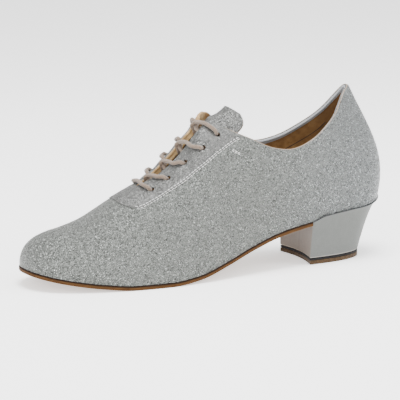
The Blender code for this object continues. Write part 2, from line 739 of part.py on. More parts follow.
def panel_prism(collection):
    """Everything above the panel's seam, as one block right across the shoe."""
    curve = curve_through(column(EYESTAY, 0), column(EYESTAY, 1))
    first, last = EYESTAY[0][0], EYESTAY[-1][0]
    outline = []
    for k in range(PRISM_STEPS + 1):
        at = first + (last - first) * k / PRISM_STEPS
        x = along(at)
        outline.append(Vector((x, -BALL_WIDTH, sole_top(x) + GAP + curve(at) * INSTEP_HEIGHT)))
    roof = sole_top(along(last)) + 1.5 * INSTEP_HEIGHT
    outline.append(Vector((along(last), -BALL_WIDTH, roof)))
    outline.append(Vector((along(first), -BALL_WIDTH, roof)))
    bm = bmesh.new()
    wall = bm.faces.new([bm.verts.new(p) for p in outline])
    raised = bmesh.ops.extrude_face_region(bm, geom=[wall])
    moved = [item for item in raised["geom"] if isinstance(item, bmesh.types.BMVert)]
    bmesh.ops.translate(bm, verts=moved, vec=(0, 2 * BALL_WIDTH, 0))
    return cutter(finish_object("lacing_panel_outline", bm, collection))


def eyelet_places(side):
    """The row and share of each hole on one side, from the toe backwards."""
    places = []
    for k in range(EYELET_PAIRS):
        at = EYELET_FIRST_AT + (EYELET_LAST_AT - EYELET_FIRST_AT) * k / (EYELET_PAIRS - 1)
        row = row_at(at)
        places.append((row, share_below_rim(row, side, EYELET_INSET)))
    return places


def eyelet_holes(collection):
    bm = bmesh.new()
    for side in (LAT, MED):
        for row, v in eyelet_places(side):
            axis = skin_normal(row, side, v)
            turn = axis.to_track_quat("Z", "Y").to_matrix().to_4x4()
            place = Matrix.Translation(skin(row, side, v, WALL / 2)) @ turn
            bmesh.ops.create_cone(
                bm, cap_ends=True, segments=HOLE_SIDES, matrix=place,
                radius1=EYELET_HOLE / 2, radius2=EYELET_HOLE / 2, depth=4 * WALL,
            )
    return cutter(finish_object("eyelet_holes", bm, collection))


def gap_point(row, depth, part):
    """A point between the flaps: part runs from -1 at the outer flap's edge to 1 at the inner."""
    half = (skin_point(row, MED, 1.0) - skin_point(row, LAT, 1.0)).length / 2
    line = across_throat(row, depth)
    return spaced_from_middle(line, half * max(abs(part), 0.01), 3)[0 if part < 0 else 2]


def lace_at_hole(side, number):
    """The lace's points at a hole, from inside the shoe to halfway to the flap's edge."""
    row, v = eyelet_places(side)[number]
    lower = share_below_rim(row, side, EYELET_INSET + GAP)
    near = share_below_rim(row, side, EYELET_INSET - LACE / 2)
    half = share_below_rim(row, side, EYELET_INSET / 2)
    return [
        skin(row, side, lower, WALL + LACE / 3),
        skin(row, side, lower, WALL / 3),
        skin(row, side, v, -LACE_OVER / 2 - GAP),
        skin(row, side, near, -LACE_OVER),
        skin(row, side, half, -LACE_OVER - GAP),
    ]


def lace_crossing(side, number):
    """From inside a hole, under its flap and over the other flap, to the next hole."""
    row = eyelet_places(side)[number][0]
    step = eyelet_places(-side)[number + 1][0] - row
    points = []
    for along_step, distance in ((0.03, EYELET_INSET - 0.6 * LACE), (0.10, EYELET_INSET / 2)):
        here = row + along_step * step
        points.append(skin(here, side, share_below_rim(here, side, distance), LACE_UNDER))
    points.append(skin(row + 0.17 * step, side, 1.0, LACE_UNDER + GAP))
    for part, along_step, low, high in LACE_GAP:
        depth = high if side == MED else low
        points.append(gap_point(row + along_step * step, depth * LACE, -side * part))
    edge = row + 0.74 * step
    points.append(skin(edge, -side, 1.0, -LACE_OVER - 2 * GAP))
    return points


def lace_strand(side):
    """One end of the lace from the first hole to the last, which it enters and stays in."""
    points = []
    for number in range(EYELET_PAIRS - 1):
        points += lace_at_hole(side, number)[1::-1]
        points += lace_crossing(side, number)
        side = -side
        points += lace_at_hole(side, number + 1)[:1:-1]
    points += lace_at_hole(side, EYELET_PAIRS - 1)[1::-1]
    row = eyelet_places(side)[-1][0]
    points.append(skin(row, side, share_below_rim(row, side, EYELET_INSET + LACE), LACE_UNDER))
    return points


def lace_route():
    """The lace's middle line: a bar over the first pair, then both ends crossing upwards."""
    row = eyelet_places(LAT)[0][0]
    bar = lace_at_hole(LAT, 0)[2:]
    bar += [skin(row, side, 1.0, -LACE_OVER - GAP) for side in (LAT, MED)]
    bar += lace_at_hole(MED, 0)[:1:-1]
    return lace_strand(LAT)[::-1] + bar + lace_strand(MED)


def smooth_route(points, steps):
    """A rounded curve through the points, with this many points for each."""
    route = []
    padded = [points[0] * 2 - points[1], *points, points[-1] * 2 - points[-2]]
    for a, b, c, d in zip(padded, padded[1:], padded[2:], padded[3:]):
        for k in range(steps):
            t = k / steps
            route.append(0.5 * (
                2 * b + (c - a) * t + (2 * a - 5 * b + 4 * c - d) * t * t
                + (3 * b - a - 3 * c + d) * t ** 3
            ))
    route.append(points[-1])
    return route


def lace(collection, finish):
    points = smooth_route(lace_route(), LACE_STEPS)
    curve = bpy.data.curves.new("lace", "CURVE")
    curve.dimensions = "3D"
    curve.bevel_depth = LACE / 2
    curve.bevel_resolution = 2
    curve.use_fill_caps = True
    line = curve.splines.new("POLY")
    line.points.add(len(points) - 1)
    for vertex, point in zip(line.points, points):
        vertex.co = (*point, 1.0)
    curve.materials.append(finish)
    made = bpy.data.objects.new("lace", curve)
    collection.objects.link(made)
    return made


def centre_on_origin(shoe, cutters):
    """Moves everything so that the origin is under the shoe's middle, on the floor."""
    bpy.context.view_layer.update()
    corners = [made.matrix_world @ Vector(c) for made in shoe.objects for c in made.bound_box]
    low = Vector((min(c[i] for c in corners) for i in range(3)))
    high = Vector((max(c[i] for c in corners) for i in range(3)))
    for made in [*shoe.objects, *cutters.objects]:
        made.location = (-(low.x + high.x) / 2, -(low.y + high.y) / 2, -low.z)


def main():
    for old in list(bpy.data.objects):
        bpy.data.objects.remove(old)
    shoe, cutters = collections()
    glitter = material("glitter_cloth", (0.36, 0.37, 0.36), 0.55)
    heel_cloth = material("heel_cloth", (0.34, 0.35, 0.34), 0.5)
    leather = material("sole_leather", (0.19, 0.09, 0.04), 0.5)
    suede = material("heel_tip_suede", (0.16, 0.08, 0.04), 0.9)
    rubber = material("heel_tip_rubber", (0.01, 0.01, 0.01), 0.6)
    lining = material("insole_leather", (0.35, 0.2, 0.1), 0.7)
    cord = material("lace_cord", (0.3, 0.21, 0.16), 0.8)
    shell = upper_shell(shoe, glitter)
    panel = panel_sheet(cutters)
    boolean(panel, panel_prism(cutters), "INTERSECT")
    boolean(shell, panel, "UNION")
    boolean(shell, eyelet_holes(cutters), "DIFFERENCE")
    outsole(shoe, leather)
    insole(shoe, lining)
    heel(shoe, heel_cloth)
    heel_layer("heel_tip_suede", shoe, suede, 0.0, TIP_SUEDE)
    heel_layer("heel_tip_rubber", shoe, rubber, TIP_SUEDE + GAP, TIP_SUEDE + GAP + TIP_RUBBER)
    tongue(shoe, glitter)
    lace(shoe, cord)
    centre_on_origin(shoe, cutters)


main()
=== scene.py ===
"""Looks of the ballroom practice shoe: glitter cloth, lacing, stitches, linings, sole and heel.

The forms use the solids' sizes and tables at a finer resolution, with small changes to fit
the photograph: the flaps' edges, eyelets, lace, tongue and heel seat. They stand in the same
frame: the toe points to -X, the outer side of the foot is -Y and +Z is up.
"""

import functools
import math

import bmesh
import bpy
import numpy as np
from mathutils import Matrix, Vector


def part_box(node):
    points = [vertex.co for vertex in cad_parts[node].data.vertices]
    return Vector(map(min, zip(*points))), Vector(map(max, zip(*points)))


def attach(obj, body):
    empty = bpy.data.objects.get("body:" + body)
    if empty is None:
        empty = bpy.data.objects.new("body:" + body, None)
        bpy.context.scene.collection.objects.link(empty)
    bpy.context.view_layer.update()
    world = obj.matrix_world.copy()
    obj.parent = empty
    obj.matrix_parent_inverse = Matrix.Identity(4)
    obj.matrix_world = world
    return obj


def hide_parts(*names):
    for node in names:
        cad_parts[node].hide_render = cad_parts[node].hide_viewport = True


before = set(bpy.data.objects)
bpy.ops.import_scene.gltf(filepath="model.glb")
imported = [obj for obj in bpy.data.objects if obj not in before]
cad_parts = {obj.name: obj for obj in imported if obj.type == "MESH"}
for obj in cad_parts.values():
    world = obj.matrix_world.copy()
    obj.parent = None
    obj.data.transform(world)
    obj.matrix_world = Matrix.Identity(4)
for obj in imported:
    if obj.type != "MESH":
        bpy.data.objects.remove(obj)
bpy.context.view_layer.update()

LAT, MED = -1, 1          # outer and inner side, as the sign of Y

# Driving sizes in metres
LENGTH = 0.246            # last, toe tip to back
BALL_WIDTH = 0.0735       # last, across the ball
SEAT_WIDTH = 0.0495       # last, across the heel seat
TOE_SPRING = 0.0093       # outsole's underside at the toe tip above the floor
SEAT_RISE = 0.0336        # heel seat above the ball at the very back
SEAT_LIP = 0.0019         # the last's bottom turns up by this round the heel seat
INSTEP_HEIGHT = 0.0857    # tops of the lacing flaps above the insole side of the sole
BACK_HEIGHT = 0.0770      # top of the back above the heel seat
THROAT_GAP = 0.0190       # between the two flaps at their tops
WALL = 0.0020             # upper: cloth, interlining and suede lining
COLLAR_WALL = 0.0034      # the padded edge of the collar
MARGIN_WIDTH = 0.0100     # upper turned in under the foot
MARGIN_WALL = 0.0014
EYESTAY_STEP = 0.0005     # the lacing panel stands out of the upper by this
SOLE_THICKNESS = 0.0027
SOLE_EDGE = 0.0004        # outsole stands out beyond the last
INSOLE_THICKNESS = 0.0025
INSOLE_INSET = 0.0030     # its edge from the last's outline
HEEL_EDGE = 0.0006        # heel's top rim stands out beyond the last
HEEL_BASE_LENGTH = 0.0445
HEEL_BASE_WIDTH = 0.0426
BREAST_HOLLOW = 0.0030    # depth of the curve in the heel's front face
TIP_SUEDE = 0.0027
TIP_RUBBER = 0.0012
TONGUE_HALF_WIDTH = 0.0207
TONGUE_RISE = 0.0152      # tongue's length above the flaps
EYELET_PAIRS = 5
EYELET_HOLE = 0.0034
EYELET_INSETS = (0.0107, 0.0089, 0.0090, 0.0131, 0.0103)   # their centres from the flap's edge
LACE = 0.0022
GAP = 0.0003              # between pieces that touch

# Shares, counts and smaller shapes
BREAST_AT = 0.7625        # heel's front face, as a share of LENGTH from the toe
HEEL_SQUARENESS = 2.45    # 2 would make the heel's base a half ellipse
HEEL_FLARE = 0.65         # below 1 the heel narrows fast under its top rim
TONGUE_ROUND = 0.0080     # radius of the tongue's top corners
TONGUE_LEAN = (20, 42)    # its slope above the flaps, from its root to its tip, in degrees
TONGUE_TURN = 47          # the arch of its tip leans forwards by this
TONGUE_ARCH = (0.0162, 0.0200)   # half width and height of that arch
TONGUE_FIRST_ROW = 5.5
TONGUE_TOP_ROWS = 6
TONGUE_COLUMNS = 13
PANEL_INSET = 0.0006      # its edge stays this far back from the flap's edge
EYELET_FIRST_AT = 0.326   # first and last pair, as shares of LENGTH
EYELET_LAST_AT = 0.500
LACE_OVER = EYESTAY_STEP + GAP + LACE / 2
LACE_UNDER = WALL + 2 * GAP + LACE / 2
LACE_SLANT = 0.34         # rows by which the lace lies further forward halfway to its hole
LACE_ASIDE = 0.0010       # it enters its hole this far towards the flap's edge

# Last's outline, by share of LENGTH from the toe: half widths as shares of
# BALL_WIDTH and SEAT_WIDTH, added together, on the outer (lat) and inner (med) side
OUTLINE = (
    # at     lat_ball  med_ball  lat_seat  med_seat
    (0.000, -0.067, 0.067, 0.000, 0.000),
    (0.020, 0.165, 0.238, 0.000, 0.000),
    (0.060, 0.292, 0.336, 0.000, 0.000),
    (0.120, 0.386, 0.412, 0.000, 0.000),
    (0.200, 0.456, 0.476, 0.000, 0.000),
    (0.280, 0.495, 0.497, 0.000, 0.000),
    (0.360, 0.504, 0.471, 0.000, 0.000),
    (0.460, 0.474, 0.405, 0.000, 0.000),
    (0.560, 0.280, 0.226, 0.208, 0.178),
    (0.660, 0.100, 0.080, 0.402, 0.366),
    (0.760, 0.000, 0.000, 0.510, 0.492),
    (0.860, 0.000, 0.000, 0.500, 0.500),
    (0.940, 0.000, 0.000, 0.448, 0.448),
    (0.985, 0.000, 0.000, 0.243, 0.243),
    (1.000, 0.000, 0.000, 0.000, 0.000),
)

# Outsole's underside: shares of TOE_SPRING and SEAT_RISE, and of SEAT_LIP for the
# turned-up edge of the last's bottom
PROFILE = (
    # at    toe    seat   lip
    (0.00, 1.000, 0.000, 0.00),
    (0.08, 0.563, 0.000, 0.00),
    (0.16, 0.230, 0.000, 0.00),
    (0.25, 0.000, 0.000, 0.00),
    (0.34, 0.000, 0.000, 0.00),
    (0.42, 0.000, 0.067, 0.00),
    (0.50, 0.000, 0.253, 0.00),
    (0.58, 0.000, 0.475, 0.00),
    (0.66, 0.000, 0.655, 0.00),
    (0.74, 0.000, 0.768, 0.00),
    (0.764, 0.000, 0.794, 0.05),
    (0.80, 0.000, 0.833, 0.95),
    (0.86, 0.000, 0.889, 1.00),
    (0.92, 0.000, 0.938, 0.95),
    (0.97, 0.000, 0.975, 1.35),
    (1.00, 0.000, 1.000, 1.85),
)

# Upper: one row for each meridian, from the toe round to the back. foot is where it
# leaves the last's outline and spine where its plane cuts the middle line, as shares of
# LENGTH. The rim lies at gap half THROAT_GAPs plus collar SEAT_WIDTHs from the spine, and
# at instep INSTEP_HEIGHTs plus back BACK_HEIGHTs above the foot, on each side.
# flare is the wall's outward lean at the foot and crown its slope at the rim, in
# degrees, and pull_foot and pull_rim are the lengths of the curve's two handles.
UPPER = (
    # foot   spine   gap   collar instep back_lat back_med flare_lat flare_med crown pull_foot pull_rim
    (0.000, 0.069, 0.00, 0.000, 0.240, 0.000, 0.000, 1, 1, 0, 0.42, 0.42),
    (0.010, 0.080, 0.00, 0.000, 0.256, 0.000, 0.000, 3, 3, 0, 0.42, 0.42),
    (0.038, 0.102, 0.00, 0.000, 0.287, 0.000, 0.000, 6, 6, 0, 0.43, 0.42),
    (0.090, 0.134, 0.00, 0.000, 0.337, 0.000, 0.000, 9, 9, 0, 0.44, 0.42),
    (0.160, 0.179, 0.00, 0.000, 0.417, 0.000, 0.000, 10, 9, 0, 0.44, 0.40),
    (0.236, 0.236, 0.00, 0.000, 0.539, 0.000, 0.000, 8, 8, 0, 0.44, 0.36),
    (0.293, 0.293, 0.00, 0.000, 0.625, 0.000, 0.000, 6, 8, 0, 0.44, 0.33),
    (0.324, 0.324, 0.29, 0.000, 0.669, 0.000, 0.000, 5, 8, 8, 0.44, 0.31),
    (0.365, 0.365, 0.47, 0.000, 0.749, 0.000, 0.000, 4, 8, 14, 0.44, 0.29),
    (0.410, 0.410, 0.65, 0.000, 0.858, 0.000, 0.000, 2, 9, 20, 0.44, 0.27),
    (0.455, 0.455, 0.87, 0.000, 0.979, 0.000, 0.010, 1, 11, 26, 0.43, 0.25),
    (0.495, 0.495, 1.00, 0.000, 1.000, 0.000, 0.024, 1, 13, 34, 0.42, 0.25),
    (0.515, 0.515, 1.00, 0.084, 0.954, 0.000, 0.040, 2, 14, 46, 0.41, 0.26),
    (0.545, 0.545, 0.60, 0.290, 0.868, 0.000, 0.020, 3, 15, 58, 0.40, 0.28),
    (0.585, 0.585, 0.20, 0.466, 0.450, 0.360, 0.347, 4, 15, 68, 0.38, 0.30),
    (0.640, 0.640, 0.00, 0.550, 0.000, 0.724, 0.700, 6, 14, 76, 0.36, 0.32),
    (0.700, 0.700, 0.00, 0.560, 0.000, 0.660, 0.630, 8, 11, 79, 0.36, 0.33),
    (0.7625, 0.7625, 0.00, 0.530, 0.000, 0.700, 0.640, 9, 9, 76, 0.36, 0.34),
    (0.825, 0.810, 0.00, 0.444, 0.000, 0.810, 0.720, 10, 10, 71, 0.37, 0.36),
    (0.885, 0.830, 0.00, 0.338, 0.000, 0.905, 0.815, 11, 11, 67, 0.38, 0.38),
    (0.945, 0.850, 0.00, 0.262, 0.000, 0.968, 0.915, 12, 12, 65, 0.39, 0.40),
    (0.985, 0.857, 0.00, 0.272, 0.000, 0.996, 0.982, 13, 13, 64, 0.40, 0.41),
    (1.000, 0.860, 0.00, 0.273, 0.000, 1.000, 1.000, 13, 13, 64, 0.40, 0.41),
)
# The inner side's lacing flap as it stands: drawn in by the lace, with its top corner
# turned up; changes of the rim's reach and height, and of its slope in degrees
INNER_FLAP = (
    # row   reach    height   slope
    (0.0, 0.0000, 0.0000, 0),
    (7.0, 0.0000, 0.0000, 0),
    (8.0, -0.0008, 0.0000, 0),
    (9.0, -0.0028, -0.0003, 0),
    (9.5, -0.0040, -0.0012, 2),
    (10.0, -0.0048, -0.0026, 8),
    (10.5, -0.0024, -0.0012, 26),
    (11.0, 0.0006, 0.0002, 48),
    (11.5, 0.0010, 0.0006, 50),
    (12.0, 0.0000, 0.0014, 42),
    (12.5, -0.0012, 0.0030, 30),
    (13.0, -0.0022, 0.0034, 18),
    (13.5, -0.0016, 0.0018, 8),
    (14.0, 0.0000, 0.0000, 0),
    (22.0, 0.0000, 0.0000, 0),
)
# The outer flap's edge between the laces, moved out and down by these.
OUTER_FLAP = (
    # row, reach, height
    (0.0, 0.0, 0.0),
    (7.0, 0.0, 0.0),
    (8.0, 0.0011, -0.0010),
    (9.0, 0.0016, -0.0014),
    (10.0, 0.0011, -0.0010),
    (11.0, 0.0, 0.0),
    (22.0, 0.0, 0.0),
)

CLOSED_ROW = 6            # up to this row the two sides meet along the top of the vamp
FLAP_TOP_ROW = 11
BREAST_ROW = 17
LAST_ROW = len(UPPER) - 1
STEPS = 2                 # meridians from one row to the next

# Lacing panel's seam seen from the side: a share of LENGTH, and its height above the
# last's bottom as a share of INSTEP_HEIGHT. Its ends lie above the shoe.
EYESTAY = (
    # at     high
    (0.205, 0.650),
    (0.231, 0.577),
    (0.245, 0.544),
    (0.262, 0.527),
    (0.282, 0.526),
    (0.304, 0.548),
    (0.331, 0.583),
    (0.368, 0.639),
    (0.401, 0.687),
    (0.435, 0.746),
    (0.472, 0.787),
    (0.511, 0.810),
    (0.535, 0.823),
    (0.562, 0.840),
    (0.580, 0.900),
)

# Lace between the flaps, for the end that crosses below and the one that crosses above:
# share of the gap, share of the step to the next pair, and depths as shares of LACE
LACE_GAP = (
    # part   step   low   high
    (-0.16, 0.14, 0.90, -0.30),
    (0.00, 0.22, 0.82, -0.42),
    (0.24, 0.31, 0.58, -0.50),
)


# Sizes that only the looks need, in metres
CLOTH = 0.0008            # outer cloth of the upper; the rest of its wall is the lining
MARGIN_CLOTH = 0.0006     # that cloth where it is turned in under the foot
MARGIN_BACK = 0.0008      # back of the lining there, above the last's bottom
STRIP = {LAT: 0.0011, MED: 0.0021}   # the cloth folds over the collar's edge by this
STRIP_STEP = 0.0003       # the fold stands out of the lining by this
FOLD_THICKNESS = 0.0005
EDGE_LIP = 0.0022         # the lining is thicker by this along the inner flap's raw edge
LIP_ROWS = ((7.0, 8.0), (10.0, 11.0))   # rows over which that starts and ends
RAW_TURN = 28.0           # how far over a raw rim the outer cloth reaches, in degrees
PIPING = 0.00026          # radius of the pale cord along the collar's edge
PANEL_EDGE = 0.0006       # the panel's edge is rounded over this width
PANEL_SUNK = 0.0003       # its back lies this far under the outer face
PUCKER = 0.00045          # height of the panel's puckers between the holes
PUCKER_REACH = (0.0032, 0.0085)   # along the row of holes and across it
HOLE_DIP = 0.00035        # depth of the dip round a hole
STITCH = 0.0016           # length of a stitch
STITCH_GAP = 0.0007
THREAD = 0.00017          # radius of the thread
ROW_ABOVE = 0.0006        # upper row of stitches above the seam
ROW_SPLIT = 0.00110       # between the two rows of stitches
STITCHES_FROM = 22        # point along the seam, out of SEAM_POINTS, where the rows start
SEAM_POINTS = 400
TICK_STITCH = 0.0013
TICK_LIFT = 0.0006
TICK_ROWS = (0.0004, -0.00045)
CUT_EDGE_AND_SHADOW = (0.00030, 0.00024)     # half widths of the dark line between the rows: the panel's cut edge, with painted shadow
LINING_LINE = (0.00030, 0.00012)  # and of the lining's seam
HEEL_GAP_SHADOW = (0.00026, 0.00024)    # and of the painted shadow line above the heel's cover
TONGUE_CLOTH = 0.0011     # the tongue's cloth, drawn in by TONGUE_TRIM from its lining's edge
TONGUE_TRIM = 0.0010
TONGUE_LINING = 0.0009
TONGUE_SPLIT = 0.0001     # between the two
SOCK_DISH = 0.0006        # the sock's hollow, and the drop of its rounded edge
HEEL_ROUND = 0.00035      # rounding of the cover's two rims
HEEL_ROUND_PART = 0.012   # share of the heel's height that it takes
TIP_ROUND = 0.00025
HEEL_MIDDLE = 0.02        # a point inside the heel, behind its front face
LACE_LOOK = 0.0025        # the soft lace's width where nothing presses on it
LACE_SIDES = 14
BRAID = 0.0011            # length of the lace's weave
GRAIN = 0.00042           # width of a grain of glitter
FINE = 12                 # columns of the upper's meshes for each row of the table
SHARES = 60               # rows of faces from the foot to the rim
COARSE = 5                # the hidden backs have one row for this many

# Rows over which the collar's edge turns over, and over which the cloth folds inwards
EDGE_TURNS = (FLAP_TOP_ROW + 1.1, FLAP_TOP_ROW + 1.6)
EDGE_FOLDS = (FLAP_TOP_ROW + 1.3, FLAP_TOP_ROW + 2.1)

# Soft creases on each side: place as a share of LENGTH, height as a share of
# INSTEP_HEIGHT, half width and half length of the crease, its lean and its height
CREASES = {
    LAT: (
        # at   high  wide    long    lean  rise
        (0.600, 0.46, 0.0040, 0.0160, 62, -0.0006),
        (0.632, 0.44, 0.0040, 0.0150, 70, 0.0004),
        (0.700, 0.50, 0.0050, 0.0140, 98, -0.0004),
        (0.235, 0.33, 0.0040, 0.0110, 25, -0.0004),
        (0.300, 0.30, 0.0045, 0.0140, 12, 0.0003),
        (0.455, 0.48, 0.0045, 0.0170, 48, -0.0003),
        (0.860, 0.55, 0.0060, 0.0120, 96, -0.0003),
    ),
    MED: (
        (0.610, 0.46, 0.0040, 0.0160, 64, -0.0005),
        (0.720, 0.48, 0.0050, 0.0140, 96, -0.0004),
        (0.245, 0.32, 0.0040, 0.0110, 20, -0.0003),
        (0.450, 0.46, 0.0045, 0.0170, 46, -0.0003),
    ),
}

# Short double row of stitches that leaves the seam below the collar, as (at, high)
TICK = (
    (0.5280, 0.774),
    (0.5355, 0.752),
    (0.5435, 0.730),
    (0.5515, 0.709),
)

# The lining's slanting seam
LINING_SEAM = (
    # row, share of the wall's height
    (17.20, 0.745),
    (18.10, 0.765),
    (18.75, 0.787),
    (19.35, 0.822),
)

# Camera and light
CAMERA_DISTANCE = 1.0
CAMERA_SCALE = 1563.0     # pixels of the 400 wide frame for a metre at the shoe
CAMERA_TURN = 24.334
CAMERA_RISE = 11.315
CAMERA_SHIFT = (-0.0152, -0.0206)
CAMERA_AIM = 0.05         # height of the point that it looks at
SENSOR = 36.0
FLOOR_REACH = 4.0
FLOOR_LOW = (0.94, 0.94, 0.94)
FLOOR_HIGH = (0.96, 0.96, 0.96)
FLOOR_GLOW = 0.8
WORLD_LIGHT = 1.45
LIGHT_AIM = 0.04
LIGHTS = (
    # name, place, size, power in watts
    ("light_above", (-0.05, -0.15, 1.3), 0.7, 32.0),
    ("light_left", (-1.2, -0.9, 0.8), 0.9, 14.0),
    ("light_right", (1.1, -0.9, 0.9), 0.9, 16.0),
)


def curve_through(xs, ys, monotone=False):
    """A smooth curve through the points, as a function; monotone keeps flats flat."""
    count = len(xs)
    rises = [(ys[i + 1] - ys[i]) / (xs[i + 1] - xs[i]) for i in range(count - 1)]
    slopes = [rises[0]] + [0.0] * (count - 2) + [rises[-1]]
    for i in range(1, count - 1):
        before, after = xs[i] - xs[i - 1], xs[i + 1] - xs[i]
        slopes[i] = (rises[i - 1] * after + rises[i] * before) / (before + after)
        if monotone:
            if rises[i - 1] * rises[i] <= 0.0:
                slopes[i] = 0.0
            else:
                w1, w2 = 2 * after + before, after + 2 * before
                slopes[i] = (w1 + w2) / (w1 / rises[i - 1] + w2 / rises[i])

    def value(x):
        x = min(max(x, xs[0]), xs[-1])
        i = max(k for k in range(count - 1) if xs[k] <= x)
        span = xs[i + 1] - xs[i]
        s = (x - xs[i]) / span
        h00, h10 = (1 + 2 * s) * (1 - s) ** 2, s * (1 - s) ** 2
        h01, h11 = s * s * (3 - 2 * s), s * s * (s - 1)
        return h00 * ys[i] + h10 * span * slopes[i] + h01 * ys[i + 1] + h11 * span * slopes[i + 1]

    return value


def column(table, index):
    return [row[index] for row in table]


def round_share(at):
    """Turns a share of the length into an angle, so that both ends of the outline are round."""
    return math.acos(min(1.0, max(-1.0, 1.0 - 2.0 * at)))


OUTLINE_ANGLES = [round_share(at) for at in column(OUTLINE, 0)]
HALF_WIDTHS = {
    side: curve_through(
        OUTLINE_ANGLES,
        [row[ball] * BALL_WIDTH + row[seat] * SEAT_WIDTH for row in OUTLINE],
    )
    for side, ball, seat in ((LAT, 1, 3), (MED, 2, 4))
}
UNDERSIDE = curve_through(
    column(PROFILE, 0), [row[1] * TOE_SPRING + row[2] * SEAT_RISE for row in PROFILE], monotone=True
)
LIP = curve_through(column(PROFILE, 0), [row[3] * SEAT_LIP for row in PROFILE], monotone=True)
SEAM = curve_through(column(EYESTAY, 0), column(EYESTAY, 1))
ROW_NUMBERS = list(range(len(UPPER)))
(FOOT, SPINE, RIM_GAP, RIM_COLLAR, INSTEP, BACK_LAT, BACK_MED,
 FLARE_LAT, FLARE_MED, CROWN, PULL_FOOT, PULL_RIM) = (
    curve_through(ROW_NUMBERS, column(UPPER, index)) for index in range(12)
)
NEAR_REACH, NEAR_HEIGHT = (
    curve_through(column(OUTER_FLAP, 0), column(OUTER_FLAP, index), monotone=True)
    for index in (1, 2)
)
FLAP_REACH, FLAP_HEIGHT, FLAP_SLOPE = (
    curve_through(column(INNER_FLAP, 0), column(INNER_FLAP, index), monotone=True)
    for index in (1, 2, 3)
)


def along(at):
    """Share of the length from the toe to a place along X."""
    return LENGTH * (at - 0.5)


def share(x):
    return x / LENGTH + 0.5


def outline_point(at, side):
    return Vector((along(at), side * HALF_WIDTHS[side](round_share(at)), 0.0))


def sole_top(x):
    """Height of the outsole's upper face at x."""
    return UNDERSIDE(share(x)) + SOLE_THICKNESS


def seat_height(x, inset):
    """Height of the last's bottom at x, inset from its edge, with the turned-up heel seat."""
    edge = max(0.0, 1.0 - max(0.0, inset) / MARGIN_WIDTH)
    return sole_top(x) + GAP + LIP(share(x)) * edge * edge


class Meridian:
    """One section of the upper, in the upright plane from the spine through the foot."""

    def __init__(self, row, side):
        self.spine = Vector((along(SPINE(row)), 0.0, 0.0))
        foot = outline_point(FOOT(row), side)
        self.out = (foot - self.spine).normalized()
        self.foot_reach = (foot - self.spine).length
        closed = row <= CLOSED_ROW
        reach = 0.0 if closed else RIM_GAP(row) * THROAT_GAP / 2 + RIM_COLLAR(row) * SEAT_WIDTH
        back = (BACK_LAT if side == LAT else BACK_MED)(row)
        foot_high = sole_top(foot.x) + GAP
        high = foot_high + INSTEP(row) * INSTEP_HEIGHT + back * BACK_HEIGHT
        if side == MED:
            reach += FLAP_REACH(row)
            high += FLAP_HEIGHT(row)
        else:
            reach += NEAR_REACH(row)
            high += NEAR_HEIGHT(row)
        start = Vector((self.foot_reach, seat_height(foot.x, 0.0)))
        end = Vector((reach, high))
        size = (end - start).length
        flare = math.radians((FLARE_LAT if side == LAT else FLARE_MED)(row))
        crown = math.radians(CROWN(row))
        if side == MED:
            crown += math.radians(FLAP_SLOPE(row))
        if closed:
            crown = math.atan(ridge_slope(row) * -self.out.x)
        lean = Vector((math.sin(flare), math.cos(flare)))
        fall = Vector((math.cos(crown), -math.sin(crown)))
        self.handles = (
            start,
            start + lean * size * PULL_FOOT(row),
            end + fall * size * PULL_RIM(row),
            end,
        )

    def at(self, v):
        """The point a share v of the way up the curve from the foot to the rim."""
        a, b, c, d = self.handles
        u = 1.0 - v
        flat = a * u ** 3 + b * 3 * u * u * v + c * 3 * u * v * v + d * v ** 3
        return self.spine + self.out * flat.x + Vector((0.0, 0.0, flat.y))

    def many(self, shares):
        """Points at an array of shares, one line each."""
        v = np.asarray(shares, dtype=float)[:, None]
        u = 1.0 - v
        a, b, c, d = (np.array(handle) for handle in self.handles)
        flat = a * u ** 3 + b * 3 * u * u * v + c * 3 * u * v * v + d * v ** 3
        points = np.array(self.spine) + flat[:, :1] * np.array(self.out)
        points[:, 2] += flat[:, 1]
        return points

    def inward(self, inset):
        """The point this far in from the foot, or at the spine, and how far in that is."""
        depth = self.foot_reach if inset is None else min(inset, self.foot_reach)
        return self.spine + self.out * (self.foot_reach - depth), depth

    def under(self, inset):
        """A point on the last's bottom, this far in from its edge."""
        point, depth = self.inward(inset)
        return Vector((point.x, point.y, seat_height(point.x, depth)))


@functools.lru_cache(maxsize=None)
def meridian(row, side):
    return Meridian(row, side)


@functools.lru_cache(maxsize=None)
def ridge_slope(row):
    """Slope of the vamp's top line along X."""
    low, high = max(0.0, row - 0.25), min(CLOSED_ROW + 0.0, row + 0.25)
    points = []
    for r in (low, high):
        foot = outline_point(FOOT(r), LAT)
        points.append((along(SPINE(r)), sole_top(foot.x) + INSTEP(r) * INSTEP_HEIGHT))
    return (points[1][1] - points[0][1]) / (points[1][0] - points[0][0])


def skin_point(row, side, v):
    return meridian(row, side).at(v)


def skin_normal(row, side, v):
    """Outward normal of the upper's outer face."""
    low_row, high_row = max(0.0, row - 0.1), min(LAST_ROW + 0.0, row + 0.1)
    low_v, high_v = max(0.0, v - 0.03), min(1.0, v + 0.03)
    along_row = skin_point(high_row, side, v) - skin_point(low_row, side, v)
    up = skin_point(row, side, high_v) - skin_point(row, side, low_v)
    normal = along_row.cross(up) * -side
    if row <= CLOSED_ROW and v > 0.999:
        normal = Vector((-ridge_slope(row), 0.0, 1.0))
    elif row < 1e-6 or row > LAST_ROW - 1e-6:
        normal.y = 0.0
    return normal.normalized()


def skin(row, side, v, depth):
    """A point below (depth above zero) or above the upper's outer face."""
    return skin_point(row, side, v) - skin_normal(row, side, v) * depth


def share_below_rim(row, side, distance):
    """The share v at this distance down the outer face from the rim."""
    last, walked, v, step = skin_point(row, side, 1.0), 0.0, 1.0, 0.0
    while walked < distance and v > 0.0:
        v -= 0.01
        here = skin_point(row, side, v)
        step = (here - last).length
        walked += step
        last = here
    return v + 0.01 * (walked - distance) / step if step else v


